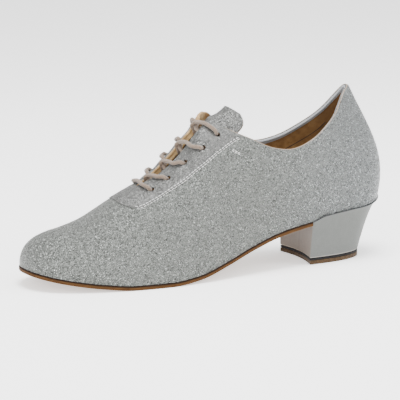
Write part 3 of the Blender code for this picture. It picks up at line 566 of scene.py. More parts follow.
def bisect(function, low, high):
    """Where the function, below zero at low, rises through zero."""
    for _ in range(40):
        middle = (low + high) / 2
        if function(middle) < 0.0:
            low = middle
        else:
            high = middle
    return (low + high) / 2


def row_at(at):
    """The table row, with its fraction, whose spine lies at this share of the length."""
    return bisect(lambda row: SPINE(row) - at, 0.0, LAST_ROW + 0.0)


def wall_at(row, v):
    """The wall thickens towards the collar's edge behind the lacing flaps."""
    if row <= FLAP_TOP_ROW:
        return WALL
    blend = min(1.0, (row - FLAP_TOP_ROW) / 2.0)
    return WALL + (COLLAR_WALL - WALL) * blend * max(0.0, (v - 0.72) / 0.28) ** 2


def breast_bow(y, half_width):
    """How far the heel's hollow front face lies back from its two edges."""
    return BREAST_HOLLOW * (1.0 - min(1.0, abs(y) / half_width) ** 2)


def heel_base_point(row, side):
    """The base outline's point under a meridian: a D with its flat side forward."""
    turn = math.pi / 2 * (1.0 - (row - BREAST_ROW) / (LAST_ROW - BREAST_ROW))
    power = 2.0 / HEEL_SQUARENESS
    x = along(BREAST_AT) + HEEL_BASE_LENGTH * max(0.0, math.cos(turn)) ** power
    y = side * HEEL_BASE_WIDTH / 2 * max(0.0, math.sin(turn)) ** power
    return Vector((x, y, 0.0))


def heel_top_point(row, side, inset):
    """A point of the dished top that carries the heel seat."""
    section = meridian(row, side)
    point, depth = section.inward(inset)
    point.z = seat_height(point.x, depth) - GAP
    if row == BREAST_ROW:
        point.x += breast_bow(point.y, section.foot_reach + HEEL_EDGE)
    return point


def across_throat(row, depth):
    """Points over the instep at this depth, from under one flap to under the other."""
    shares = [0.4 + 0.6 * k / 12 for k in range(13)]
    outer = [skin(row, LAT, v, depth) for v in shares]
    inner = [skin(row, MED, v, depth) for v in shares]
    points = list(outer)
    if row > CLOSED_ROW:
        a, b = outer[-1], inner[-1]
        reach = (b - a).length / (3.0 + 2.5 * min(1.0, max(0.0, row - 9.0)))
        rising = (outer[-1] - outer[-2]).normalized() * reach
        a_handle = a + rising
        b_handle = b + Vector((rising.x, -rising.y, rising.z))
        for k in range(1, 6):
            t = k / 6
            u = 1.0 - t
            points.append(
                a * u ** 3 + a_handle * 3 * u * u * t + b_handle * 3 * u * t * t + b * t ** 3
            )
        points.append(inner[-1])
    return points + inner[-2::-1]


def spaced_from_middle(points, half_width, count):
    """Evenly spaced points on a line of points, within half_width of its middle."""
    lengths = [0.0]
    for a, b in zip(points, points[1:]):
        lengths.append(lengths[-1] + (b - a).length)
    signs = [k for k in range(len(points) - 1) if points[k].y <= 0.0 <= points[k + 1].y]
    k = signs[0]
    part = -points[k].y / max(1e-9, points[k + 1].y - points[k].y)
    middle = lengths[k] + (lengths[k + 1] - lengths[k]) * part
    spaced = []
    for number in range(count):
        want = middle + half_width * (2.0 * number / (count - 1) - 1.0)
        want = min(max(want, 0.0), lengths[-1] - 1e-9)
        k = max(n for n in range(len(points) - 1) if lengths[n] <= want)
        spaced.append(points[k].lerp(points[k + 1], (want - lengths[k]) / (lengths[k + 1] - lengths[k])))
    return spaced


def tongue_depth(row):
    """Depth of the tongue's outer face: against the vamp in front, below the lace behind."""
    blend = min(1.0, max(0.0, row - CLOSED_ROW + 0.5))
    return WALL + 2 * GAP + blend * (LACE + 3 * GAP)


def tongue_rows():
    rows = []
    row = TONGUE_FIRST_ROW
    while row <= FLAP_TOP_ROW:
        line = across_throat(row, tongue_depth(row))
        rows.append(spaced_from_middle(line, TONGUE_HALF_WIDTH, TONGUE_COLUMNS))
        row += 1 / STEPS
    base = rows[-1]
    middle = base[TONGUE_COLUMNS // 2]
    low_lean, high_lean = (math.radians(lean) for lean in TONGUE_LEAN)
    line = across_throat(FLAP_TOP_ROW, tongue_depth(FLAP_TOP_ROW))
    for k in range(1, TONGUE_TOP_ROWS + 1):
        rise = TONGUE_RISE * math.sin(math.pi / 2 * k / TONGUE_TOP_ROWS)
        into_round = max(0.0, rise - (TONGUE_RISE - TONGUE_ROUND))
        narrow = TONGUE_ROUND - math.sqrt(max(0.0, TONGUE_ROUND ** 2 - into_round ** 2))
        section = spaced_from_middle(line, TONGUE_HALF_WIDTH - narrow, TONGUE_COLUMNS)
        lean = low_lean + (high_lean - low_lean) * rise / TONGUE_RISE
        radius = TONGUE_RISE / (high_lean - low_lean)
        forward = radius * (math.sin(lean) - math.sin(low_lean))
        upward = radius * (math.cos(low_lean) - math.cos(lean))
        turned = math.radians(TONGUE_TURN) * min(1.0, rise / TONGUE_ROUND)
        moved = []
        for point in section:
            drop = middle.z - point.z
            across = point.y / TONGUE_ARCH[0]
            round_drop = TONGUE_ARCH[1] * (1.0 - math.sqrt(max(0.0, 1.0 - across * across)))
            drop += (round_drop - drop) * min(1.0, rise / TONGUE_ROUND) * 0.85
            moved.append(Vector((
                middle.x + forward + drop * math.sin(turned),
                point.y,
                middle.z + upward - drop * math.cos(turned),
            )))
        rows.append(moved)
    return rows


@functools.lru_cache(maxsize=None)
def eyelet_places(side):
    """The row and share of each hole on one side, from the toe backwards."""
    places = []
    for k in range(EYELET_PAIRS):
        at = EYELET_FIRST_AT + (EYELET_LAST_AT - EYELET_FIRST_AT) * k / (EYELET_PAIRS - 1)
        row = row_at(at)
        places.append((row, share_below_rim(row, side, EYELET_INSETS[k])))
    return places


def gap_point(row, depth, part):
    """A point between the flaps: part runs from -1 at the outer flap's edge to 1 at the inner."""
    half = (skin_point(row, MED, 1.0) - skin_point(row, LAT, 1.0)).length / 2
    line = across_throat(row, depth)
    return spaced_from_middle(line, half * max(abs(part), 0.01), 3)[0 if part < 0 else 2]


def lace_at_hole(side, number):
    """The lace's points at a hole, from inside the shoe to halfway to the flap's edge."""
    inset = EYELET_INSETS[number]
    row = eyelet_places(side)[number][0] - LACE_SLANT / 4
    lower = share_below_rim(row, side, inset - LACE_ASIDE)
    before = row - LACE_SLANT / 3
    near = share_below_rim(before, side, inset - LACE_ASIDE - LACE / 2)
    half_row = row - LACE_SLANT
    half = share_below_rim(half_row, side, inset / 2)
    return [
        skin(row, side, lower, WALL + LACE / 3),
        skin(row, side, lower, WALL / 3),
        skin(row - LACE_SLANT / 8, side, lower, -LACE_OVER / 2),
        skin(before, side, near, -LACE_OVER),
        skin(half_row, side, half, -LACE_OVER - GAP),
    ]


def lace_crossing(side, number):
    """From inside a hole, under its flap and over the other flap, to the next hole."""
    inset = EYELET_INSETS[number]
    row = eyelet_places(side)[number][0]
    step = eyelet_places(-side)[number + 1][0] - row
    points = []
    for along_step, distance in ((0.01, inset - 0.6 * LACE), (0.03, inset / 2)):
        here = row + along_step * step
        points.append(skin(here, side, share_below_rim(here, side, distance), LACE_UNDER))
    points.append(skin(row + 0.07 * step, side, 1.0, LACE_UNDER + GAP))
    for part, along_step, low, high in LACE_GAP:
        depth = high if side == MED else low
        points.append(gap_point(row + along_step * step, depth * LACE, -side * part))
    edge = row + 0.45 * step
    points.append(skin(edge, -side, 1.0, -LACE_LOOK / 2 - GAP))
    return points


def lace_strand(side):
    """One end of the lace from the first hole to the last, which it enters and stays in."""
    points = []
    for number in range(EYELET_PAIRS - 1):
        points += lace_at_hole(side, number)[1::-1]
        points += lace_crossing(side, number)
        side = -side
        points += lace_at_hole(side, number + 1)[:1:-1]
    points += lace_at_hole(side, EYELET_PAIRS - 1)[1::-1]
    row = eyelet_places(side)[-1][0]
    points.append(skin(row, side, share_below_rim(row, side, EYELET_INSETS[-1] + LACE), LACE_UNDER))
    return points


def lace_route():
    """The lace's middle line: a bar over the first pair, then both ends crossing upwards."""
    row = eyelet_places(LAT)[0][0]
    bar = lace_at_hole(LAT, 0)[2:]
    bar += [skin(row - 0.4, side, 1.0, -LACE_OVER - GAP) for side in (LAT, MED)]
    bar += lace_at_hole(MED, 0)[:1:-1]
    return lace_strand(LAT)[::-1] + bar + lace_strand(MED)


def smooth_route(points, steps):
    """A rounded curve through the points, with this many points for each."""
    route = []
    padded = [points[0] * 2 - points[1], *points, points[-1] * 2 - points[-2]]
    for a, b, c, d in zip(padded, padded[1:], padded[2:], padded[3:]):
        for k in range(steps):
            t = k / steps
            route.append(0.5 * (
                2 * b + (c - a) * t + (2 * a - 5 * b + 4 * c - d) * t * t
                + (3 * b - a - 3 * c + d) * t ** 3
            ))
    route.append(points[-1])
    return route


def place_of_origin():
    """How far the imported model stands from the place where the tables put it."""
    low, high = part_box("heel_tip_suede")
    return Vector((low[0] - along(BREAST_AT), (low[1] + high[1]) / 2, 0.0))


SHIFT = place_of_origin()


def soft_step(value, low, high):
    """0 below low, 1 above high and a smooth rise between them."""
    t = min(1.0, max(0.0, (value - low) / (high - low)))
    return t * t * (3.0 - 2.0 * t)


def skin_line(row, side, shares):
    """Points of the outer face at these shares of a row, and its outward normals, as arrays."""
    v = np.asarray(shares, dtype=float)
    low, high = max(0.0, row - 0.1), min(LAST_ROW + 0.0, row + 0.1)
    across = meridian(high, side).many(v) - meridian(low, side).many(v)
    here = meridian(row, side)
    up = here.many(np.minimum(1.0, v + 0.03)) - here.many(np.maximum(0.0, v - 0.03))
    normal = np.cross(across, up) * -side
    if row < 1e-6 or row > LAST_ROW - 1e-6:
        normal[:, 1] = 0.0
    if row <= CLOSED_ROW:
        normal[v > 0.999] = (-ridge_slope(row), 0.0, 1.0)
    return here.many(v), normal / np.linalg.norm(normal, axis=1)[:, None]


def fine_ring(first=0.0, last=LAST_ROW):
    """(row, side) pairs at the fine spacing, down the outer side and back up the inner side."""
    count = round((last - first) * FINE)
    rows = [first + k / FINE for k in range(count + 1)]
    if first == 0.0 and last == LAST_ROW:
        return [(row, LAT) for row in rows] + [(row, MED) for row in rows[-2:0:-1]]
    if first == 0.0:
        return [(row, MED) for row in rows[:0:-1]] + [(row, LAT) for row in rows]
    return [(row, LAT) for row in rows] + [(row, MED) for row in rows[-2::-1]]


def make_piece(name, work, materials, layers=None, sharp=50):
    """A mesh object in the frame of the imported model, riding on the shoe."""
    mesh = bpy.data.meshes.new(name)
    placed = np.concatenate(work.points) + np.array(SHIFT)
    mesh.from_pydata([tuple(p) for p in placed], [], work.faces)
    for layer, values in (layers or {}).items():
        made = mesh.attributes.new(layer, "FLOAT", "POINT")
        made.data.foreach_set("value", np.asarray(values, dtype=np.float32))
    for finish in materials:
        mesh.materials.append(finish)
    mesh.polygons.foreach_set("material_index", work.numbers)
    bm = bmesh.new()
    bm.from_mesh(mesh)
    bmesh.ops.remove_doubles(bm, verts=bm.verts, dist=1e-6)
    bmesh.ops.dissolve_degenerate(bm, dist=1e-6, edges=bm.edges)
    loose = [v for v in bm.verts if not v.link_faces]
    bmesh.ops.delete(bm, geom=loose, context="VERTS")
    bmesh.ops.recalc_face_normals(bm, faces=bm.faces)
    bm.to_mesh(mesh)
    bm.free()
    return ridden(name, mesh, sharp)


def ridden(name, mesh, sharp=180):
    """The mesh, smooth up to this angle between faces, as an object that rides on the shoe."""
    mesh.shade_smooth()
    if sharp < 180:
        mesh.set_sharp_from_angle(angle=math.radians(sharp))
    made = bpy.data.objects.new(name, mesh)
    bpy.context.scene.collection.objects.link(made)
    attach(made, "root")
    return made


class Sheets:
    """Collects grids of points and the faces between them, with each face's material number."""

    def __init__(self):
        self.points, self.faces, self.numbers = [], [], []
        self.count = 0

    def grid(self, lines):
        """Adds lines of points and gives their numbers back."""
        numbers = []
        for line in lines:
            line = np.asarray(line, dtype=float).reshape(-1, 3)
            self.points.append(line)
            numbers.append(list(range(self.count, self.count + len(line))))
            self.count += len(line)
        return numbers

    def cap(self, line, number=0):
        """One face over a closed line of numbers."""
        self.faces.append(tuple(line))
        self.numbers.append(number)

    def between(self, first, second, closed=False, number=0):
        """Faces between two lines of numbers."""
        count = len(first)
        for i in range(count if closed else count - 1):
            j = (i + 1) % count
            self.cap((first[i], first[j], second[j], second[i]), number)

    def fill(self, lines, closed=False, number=0):
        """Faces between each line and the next."""
        for first, second in zip(lines, lines[1:]):
            self.between(first, second, closed, number)

    def shell(self, face, back):
        """Rings of faces on both sides of a wall, joined along their first lines."""
        self.fill(face, closed=True)
        self.fill(back, closed=True)
        self.between(face[0], back[0], closed=True)


def crest_frame(row, side):
    """Middle of the rim's wall, half its width towards the outside, and its roll upwards."""
    outer = skin(row, side, 1.0, 0.0)
    inner = skin(row, side, 1.0, wall_at(row, 1.0))
    up = (skin_point(row, side, 1.0) - skin_point(row, side, 0.97)).normalized()
    roll = 0.3 * (outer - inner).length * soft_step(row, CLOSED_ROW, CLOSED_ROW + 0.4)
    return (outer + inner) / 2, (outer - inner) / 2, up * roll


def crest_point(row, side, angle, inset=0.0):
    """A point of the rim's rounded top: 0 faces outwards and 180 inwards, in degrees."""
    middle, half, roll = crest_frame(row, side)
    turn = math.radians(angle)
    shrink = max(0.05, 1.0 - inset / half.length)
    return middle + half * math.cos(turn) * shrink + roll * math.sin(turn) * shrink


def turned_over(row):
    """0 along the lacing flaps, where the outer cloth ends early, and 1 at the collar."""
    return soft_step(row, *EDGE_TURNS)


def fold_share(row):
    """0 along the lacing flaps, where the edge is raw, and 1 where the cloth folds inwards."""
    return soft_step(row, *EDGE_FOLDS)


def crest_turn(row):
    """Angle over the rim at which the outer cloth ends or its fold starts, in degrees."""
    return RAW_TURN + (180.0 - RAW_TURN) * turned_over(row)


def fold_point(row, side, part, inset):
    """A point of the cloth folded down inside the collar, or its end at a raw edge."""
    folded = fold_share(row)
    if folded < 1e-6:
        return crest_point(row, side, RAW_TURN, CLOTH) if inset else crest_point(row, side, crest_turn(row))
    v = share_down(row, side, STRIP[side] * folded * part)
    return skin(row, side, v, wall_at(row, v) - inset)


def fold_step(row, v):
    """How far the lining lies back from the wall's inner face, beside the fold."""
    return STRIP_STEP * np.clip((v - 0.80) / 0.1, 0.0, 1.0) * fold_share(row)


def cloth_relief(row, side, points, v):
    """Depth of the cloth's soft creases, below zero where they rise."""
    height = np.zeros(len(v))
    for at, high, wide, long, lean, rise in CREASES[side]:
        dx = points[:, 0] - along(at)
        dz = points[:, 2] - (sole_top(along(at)) + high * INSTEP_HEIGHT)
        turn = math.radians(lean)
        a = dx * math.cos(turn) + dz * math.sin(turn)
        b = dz * math.cos(turn) - dx * math.sin(turn)
        height += rise * np.exp(-(a / long) ** 2 - (b / wide) ** 2)
    return -height * np.minimum(1.0, v / 0.06) * np.minimum(1.0, (1.0 - v) / 0.05)


def lining_top(row, side):
    """Share of the wall's height at which the lining ends, under the fold or at the rim."""
    return 1.0 + (share_down(row, side, STRIP[side] * 0.75) - 1.0) * fold_share(row)


def lining_depth(row, side, points, v):
    """Depth of the lining's inner face, with the lip along the inner flap's edge."""
    walls = np.array([wall_at(row, value) for value in v])
    if side == MED:
        between_laces = soft_step(row, *LIP_ROWS[0]) * (1.0 - soft_step(row, *LIP_ROWS[1]))
        walls += EDGE_LIP * between_laces * np.clip((v - 0.92) / 0.06, 0.0, 1.0)
    return walls - fold_step(row, v)


def even_depth(depth):
    return lambda row, side, points, v: np.full(len(v), depth)


def shares_for(columns, top=None):
    """For each column, evenly spaced shares of the wall's height up to its top."""
    steps = np.arange(1, SHARES + 1) / SHARES
    return [steps * (top(row, side) if top else 1.0) for row, side in columns]


def by_column(columns, shares, depth):
    """Lines of points, one for each share, from the columns' points at their depths."""
    lines = []
    for (row, side), line in zip(columns, shares):
        points, normals = skin_line(row, side, line)
        lines.append(points - normals * depth(row, side, points, line)[:, None])
    return np.array(lines).transpose(1, 0, 2)


def coarse(shares):
    return [line[COARSE - 1::COARSE] for line in shares]


def margin_lines(columns, insets, lift):
    """Lines under the foot, this far in from the last's edge and above its bottom."""
    return [[meridian(*c).under(i) + Vector((0, 0, lift)) for c in columns] for i in insets]


def open_columns(columns):
    """Numbers of the columns along the throat and the collar."""
    return [i for i, (row, _) in enumerate(columns) if row >= CLOSED_ROW - 1e-9]


@functools.lru_cache(maxsize=None)
def share_down(row, side, distance):
    return share_below_rim(row, side, distance)


def upper_cloth(finish, lit_fold_cloth):
    """The outer cloth, with its fold over the collar's edge, as one closed layer; the fold wears a lighter
    matte copy of the cloth, as painted light.
    """
    columns = fine_ring()
    insets = (MARGIN_WIDTH, MARGIN_WIDTH / 2, 0.0)
    shares = shares_for(columns)
    work = Sheets()
    outer = work.grid(margin_lines(columns, insets, 0.0))
    outer += work.grid(by_column(columns, shares, cloth_relief))
    inner = work.grid(margin_lines(columns, insets, MARGIN_CLOTH))
    inner += work.grid(by_column(columns, coarse(shares), even_depth(CLOTH)))
    work.shell(outer, inner)
    picked = open_columns(columns)
    rim = [columns[i] for i in picked]
    parts = [k / 8 for k in range(1, 9)]
    lines = [[crest_point(row, side, crest_turn(row) * part) for row, side in rim] for part in parts]
    for inset in (0.0, FOLD_THICKNESS):
        fold = [[fold_point(row, side, k / 5, inset) for row, side in rim] for k in range(1, 6)]
        lines += fold[::-1] if inset else fold
    for part in parts[-2::-1]:
        lines.append([crest_point(row, side, crest_turn(row) * part, CLOTH) for row, side in rim])
    crest = work.grid(lines)
    rims = [[outer[-1][i] for i in picked], *crest, [inner[-1][i] for i in picked]]
    work.fill(rims[:6])
    # painted light: the rim's top and the fold get the lighter matte copy of the cloth
    work.fill(rims[5:], number=1)
    return make_piece("upper_cloth", work, [finish, lit_fold_cloth], sharp=70)


def upper_lining(suede, raw_edge_and_painted_light):
    """The lining: the inner face, and the raw edge along the lacing flaps, whose tan also runs down the
    lining's top band there as painted light.
    """
    columns = fine_ring()
    insets = (MARGIN_WIDTH, MARGIN_WIDTH / 2, WALL)
    shares = shares_for(columns, lining_top)
    work = Sheets()
    face = work.grid(margin_lines(columns, insets, MARGIN_WALL))
    face += work.grid(by_column(columns, shares, lining_depth))
    back = work.grid(margin_lines(columns, insets, MARGIN_BACK))
    back += work.grid(by_column(columns, coarse(shares), even_depth(CLOTH + 0.00005)))
    work.shell(face, back)
    # painted light: the raw edge's lighter tan covers the lining's top band along the flaps, which lies in
    # shade
    for line in range(len(face) - 9, len(face) - 1):
        for i, (row, _) in enumerate(columns):
            if CLOSED_ROW < row < FLAP_TOP_ROW + 1:
                work.numbers[line * len(columns) + i] = 1
    picked = open_columns(columns)
    lines = []
    for angle in (180, 165, 150, 130, 110, 90, 70, 50, 34):
        lines.append([])
        for row, side in (columns[i] for i in picked):
            v = lining_top(row, side)
            under_fold = skin(row, side, v, wall_at(row, v) - STRIP_STEP - 0.0002)
            lines[-1].append(crest_point(row, side, angle).lerp(under_fold, turned_over(row)))
    crest = work.grid(lines)
    rims = [[face[-1][i] for i in picked], *crest, [back[-1][i] for i in picked]]
    work.fill(rims, number=1)
    return make_piece("upper_lining", work, [suede, raw_edge_and_painted_light], sharp=70)


def above_seam(row, side, v):
    """Height of a point of the outer face above the lacing panel's seam."""
    point = skin_point(row, side, v)
    level = sole_top(point.x) + GAP + SEAM(share(point.x)) * INSTEP_HEIGHT
    return point.z - level


@functools.lru_cache(maxsize=None)
def seam_share(row, side):
    """The share of the way up the wall at which the seam crosses a meridian."""
    v = 1.0
    while v > 0.3 and above_seam(row, side, v) >= 0.0:
        v -= 0.02
    return bisect(lambda value: above_seam(row, side, value), v, min(1.0, v + 0.02))


def panel_ends(side):
    """First and last row that the lacing panel reaches."""
    first = bisect(lambda row: above_seam(row, side, 1.0), 3.5, 6.0)
    last = 11.0
    while above_seam(last, side, share_down(last, side, PANEL_INSET)) > 0.0:
        last += 0.02
    return first, last


def panel_top(row, side):
    """Share of the wall's height where the panel ends, just below a flap's edge."""
    inset = PANEL_INSET * soft_step(row, CLOSED_ROW, CLOSED_ROW + 0.3)
    return share_down(row, side, inset) if inset > 0.0 else 1.0


def panel_relief(side, points):
    """Soft puckers of the panel between its holes, and dips round them."""
    height = np.zeros(len(points))
    places = [skin_point(row, side, v) for row, v in eyelet_places(side)]
    for a, b in zip(places, places[1:]):
        gap = points - np.array((a + b) / 2)
        along_line = gap @ np.array((b - a).normalized())
        off_line = np.sqrt(np.maximum(0.0, (gap ** 2).sum(axis=1) - along_line ** 2))
        near = (along_line / PUCKER_REACH[0]) ** 2 + (off_line / PUCKER_REACH[1]) ** 2
        height += PUCKER * np.exp(-near)
    for hole in places:
        away = np.sqrt(((points - np.array(hole)) ** 2).sum(axis=1))
        height -= HOLE_DIP * np.exp(-(away / EYELET_HOLE) ** 2)
    return height


def walked_along(points):
    """Length along a line of points, up to each of them."""
    return np.concatenate([[0.0], np.cumsum(np.linalg.norm(np.diff(points, axis=0), axis=1))])


def lacing_panel(finish):
    """The raised panel round the throat, a closed layer with rounded edges."""
    work = Sheets()
    for side in (LAT, MED):
        first, last = panel_ends(side)
        parts = [k / 150 for k in range(151)]
        rows = [first + (last - first) * (t + 0.35 * t * (1.0 - t) * (t - 1.0)) for t in parts]
        faces, backs = [], []
        for row in rows:
            low = seam_share(row, side)
            high = max(panel_top(row, side), low + 1e-4)
            points, normals = skin_line(row, side, [low + (high - low) * k / 44 for k in range(45)])
            edge = walked = walked_along(points)
            if row > CLOSED_ROW:
                edge = np.minimum(walked, walked[-1] - walked)
            edge = np.minimum(1.0, edge / PANEL_EDGE)
            lift = EYESTAY_STEP * (0.25 + 0.75 * np.sqrt(1.0 - (1.0 - edge) ** 2))
            lift = lift + panel_relief(side, points) * edge
            faces.append(points + normals * lift[:, None])
            backs.append(points - normals * PANEL_SUNK)
        top = work.grid(faces)
        below = work.grid(backs)
        work.fill(top)
        work.fill(below)
        work.between([line[0] for line in top], [line[0] for line in below])
        work.between(top[0], below[0])
        work.between(top[-1], below[-1])
        split = next(k for k, row in enumerate(rows) if row > CLOSED_ROW)
        work.between(*([line[-1] for line in grid[split - 1:]] for grid in (top, below)))
    return make_piece("lacing_panel", work, [finish], sharp=60)


def tube(work, points, normals, radii, sides=6):
    """A tube along the points; radii gives its half widths across and up at each one."""
    rings = []
    count = len(points)
    turns = [2.0 * math.pi * s / sides for s in range(sides)]
    for k, (point, normal, (wide, high)) in enumerate(zip(points, normals, radii)):
        ahead = points[min(count - 1, k + 1)] - points[max(0, k - 1)]
        ahead = ahead / np.linalg.norm(ahead)
        up = normal - ahead * (normal @ ahead)
        up = up / np.linalg.norm(up)
        across = np.cross(ahead, up)
        rings.append([point + across * math.cos(a) * wide + up * math.sin(a) * high for a in turns])
    numbers = work.grid(rings)
    work.fill(numbers, closed=True)
    work.cap(numbers[0])
    work.cap(numbers[-1])


def stitched(work, points, normals, length=STITCH):
    """Stitches along a line of points that lies on the cloth."""
    walked = walked_along(points)
    start = STITCH_GAP / 2
    while start + length < walked[-1]:
        wanted = start + length * np.array([0.0, 0.12, 0.35, 0.65, 0.88, 1.0])
        lift = THREAD * np.array([-0.9, 0.2, 0.8, 0.8, 0.2, -0.9])
        size = THREAD * np.array([0.55, 0.9, 1.0, 1.0, 0.9, 0.55])
        line = np.array([np.interp(wanted, walked, points[:, i]) for i in range(3)]).T
        ups = np.array([np.interp(wanted, walked, normals[:, i]) for i in range(3)]).T
        tube(work, line + ups * lift[:, None], ups, [(1.15 * s, s) for s in size])
        start += length + STITCH_GAP


def surface_line(places, side, count, lift):
    """Points and normals of the outer face along (at, high) places, evenly by at."""
    curve = curve_through(column(places, 0), column(places, 1))
    points, normals = [], []
    for k in range(count + 1):
        at = places[0][0] + (places[-1][0] - places[0][0]) * k / count
        row = row_at(at)
        level = sole_top(along(at)) + GAP + curve(at) * INSTEP_HEIGHT
        v = bisect(lambda value: skin_point(row, side, value).z - level, 0.0, 1.0)
        normals.append(np.array(skin_normal(row, side, v)))
        points.append(np.array(skin(row, side, v, -lift)))
    return np.array(points), np.array(normals)


def seam_line(side, first, last, count):
    """Points and normals of the outer face along the panel's seam."""
    points, normals = [], []
    for k in range(count + 1):
        row = first + (last - first) * k / count
        v = seam_share(row, side)
        points.append(np.array(skin_point(row, side, v)))
        normals.append(np.array(skin_normal(row, side, v)))
    return np.array(points), np.array(normals)


def beside(points, normals, distance):
    """The line moved sideways over the surface, above zero towards its upper side."""
    ahead = np.gradient(points, axis=0)
    ahead /= np.linalg.norm(ahead, axis=1)[:, None]
    across = np.cross(normals, ahead)
    across *= np.sign(across[:, 2:3])
    return points + across * distance


def seam_stitches(finish, shadow):
    """Two rows of stitches along the panel's seam, the short rows under the collar, and the
    dark line between them: the panel's cut edge, with painted shadow beside its step."""
    work, edge_and_shadow = Sheets(), Sheets()
    for side in (LAT, MED):
        first, last = panel_ends(side)
        points, normals = seam_line(side, first + 0.02, last - 0.02, SEAM_POINTS)
        # painted shadow: a dark cord along the seam, beside the panel's step, over its cut edge
        line = beside(points, normals, 0.00005) + normals * PANEL_SUNK
        tube(edge_and_shadow, line, normals, [CUT_EDGE_AND_SHADOW] * len(points))
        upper = beside(points, normals, ROW_ABOVE)
        upper, points, normals = (line[STITCHES_FROM:] for line in (upper, points, normals))
        stitched(work, upper + normals * (EYESTAY_STEP + THREAD * 0.2), normals)
        lower = beside(points, normals, ROW_ABOVE - ROW_SPLIT) + normals * THREAD * 0.6
        stitched(work, lower[3:], normals[3:])
        points, normals = surface_line(TICK, side, 60, TICK_LIFT)
        for distance in TICK_ROWS:
            stitched(work, beside(points, normals, distance), normals, TICK_STITCH)
    return (
        make_piece("seam_stitches", work, [finish]),
        make_piece("panel_edge_and_shadow", edge_and_shadow, [shadow]),
    )


def lining_seam(finish):
    """The slanting seam in the lining, low in front and rising to the back, on both sides."""
    work = Sheets()
    rows = column(LINING_SEAM, 0)
    place_up = curve_through(rows, column(LINING_SEAM, 1), monotone=True)
    for side in (LAT, MED):
        points, normals = [], []
        for k in range(41):
            row = rows[0] + (rows[-1] - rows[0]) * k / 40
            v = place_up(row)
            points.append(np.array(skin(row, side, v, wall_at(row, v) - fold_step(row, v))))
            normals.append(-np.array(skin_normal(row, side, v)))
        tube(work, np.array(points), np.array(normals), [LINING_LINE] * len(points))
    return make_piece("lining_seam", work, [finish])


def heel_gap_shadow(finish):
    """Painted shadow: a thin dark cord in the gap where the heel's cover meets the upper."""
    work = Sheets()
    columns = fine_ring(BREAST_ROW, LAST_ROW)
    points = np.array([heel_top_point(row, side, -HEEL_EDGE) for row, side in columns])
    points[:, 2] += 0.0001
    normals = np.tile((0.0, 0.0, 1.0), (len(points), 1))
    tube(work, points, normals, [HEEL_GAP_SHADOW] * len(points))
    return make_piece("heel_gap_shadow", work, [finish])


def collar_piping(finish):
    """A thin pale cord just outside the top of the collar, from flap to flap."""
    work = Sheets()
    start = FLAP_TOP_ROW + 1.2
    columns = [(row, side) for row, side in fine_ring() if row >= start]
    points = [np.array(crest_point(row, side, 62.0)) for row, side in columns]
    normals = [np.array(crest_frame(row, side)[2].normalized()) for row, side in columns]
    sizes = [PIPING * (0.35 + 0.65 * soft_step(row, start, start + 0.8)) for row, _ in columns]
    tube(work, points, normals, [(size, size) for size in sizes], 8)
    return make_piece("collar_piping", work, [finish])


def fine_tongue(cloth, lining):
    """The tongue's cloth over its lining, which shows as a narrow edge all round."""
    bm = bmesh.new()
    rows = [[bm.verts.new(point) for point in row] for row in tongue_rows()]
    for low, high in zip(rows, rows[1:]):
        for i in range(len(low) - 1):
            bm.faces.new((low[i], low[i + 1], high[i + 1], high[i]))
    bmesh.ops.recalc_face_normals(bm, faces=bm.faces)
    bm.faces.ensure_lookup_table()
    if bm.faces[0].normal.z < 0.0:
        bmesh.ops.reverse_faces(bm, faces=bm.faces)
    mesh = bpy.data.meshes.new("tongue_base")
    bm.to_mesh(mesh)
    bm.free()
    sheet = bpy.data.objects.new("tongue_base", mesh)
    bpy.context.scene.collection.objects.link(sheet)
    smooth = sheet.modifiers.new("smooth", "SUBSURF")
    smooth.levels = 3
    smooth.render_levels = 3
    bpy.context.view_layer.update()
    made = []
    for name, finish, start, depth, trim in (
        ("tongue_cloth", cloth, 0.0, TONGUE_CLOTH, TONGUE_TRIM),
        ("tongue_lining", lining, TONGUE_CLOTH + TONGUE_SPLIT, TONGUE_LINING, 0.0),
    ):
        graph = bpy.context.evaluated_depsgraph_get()
        fine = bpy.data.meshes.new_from_object(sheet.evaluated_get(graph))
        fine.name = name
        fine.materials.append(finish)
        made.append(ridden(name, layered(fine, start, depth, trim), sharp=60))
    bpy.data.objects.remove(sheet)
    return made


def layered(mesh, start, depth, trim):
    """A closed layer of this depth below a sheet, drawn in from its border by trim."""
    bm = bmesh.new()
    bm.from_mesh(mesh)
    bm.normal_update()
    moves = {}
    for vert in bm.verts:
        if not vert.is_boundary:
            continue
        inwards = Vector()
        for edge in vert.link_edges:
            if not edge.is_boundary:
                inwards += (edge.other_vert(vert).co - vert.co).normalized()
        if inwards.length > 0.0:
            moves[vert] = inwards.normalized() * trim
    normals = {vert: vert.normal.copy() for vert in bm.verts}
    for vert, move in moves.items():
        vert.co += move
    for vert in bm.verts:
        vert.co -= normals[vert] * start
    first = list(bm.verts)
    border = [edge for edge in bm.edges if edge.is_boundary]
    below = {vert: bm.verts.new(vert.co - normals[vert] * depth) for vert in first}
    for face in list(bm.faces):
        bm.faces.new([below[vert] for vert in reversed(face.verts)])
    for edge in border:
        a, b = edge.verts
        bm.faces.new((a, b, below[b], below[a]))
    bmesh.ops.recalc_face_normals(bm, faces=bm.faces)
    for vert in bm.verts:
        vert.co += SHIFT
    bm.to_mesh(mesh)
    bm.free()
    return mesh


def fine_insole(finish):
    """The sock over the insole board, slightly dished under the heel and the ball."""
    columns = fine_ring()
    insets = (INSOLE_INSET + 0.0002, INSOLE_INSET + 0.0008, 0.006, 0.010, 0.015, 0.020, 0.027, None)
    work = Sheets()
    grids = []
    for rise in (INSOLE_THICKNESS, 0.0):
        lines = []
        for inset in insets:
            line = []
            for row, side in columns:
                point, depth = meridian(row, side).inward(inset)
                level = seat_height(point.x, depth) + MARGIN_WALL + GAP + rise
                if rise:
                    level -= SOCK_DISH * (1.0 if inset == insets[0] else soft_step(depth, 0.008, 0.022))
                line.append((point.x, point.y, level))
            lines.append(line)
        grids.append(work.grid(lines))
    work.shell(*grids)
    return make_piece("insole_sock", work, [finish])


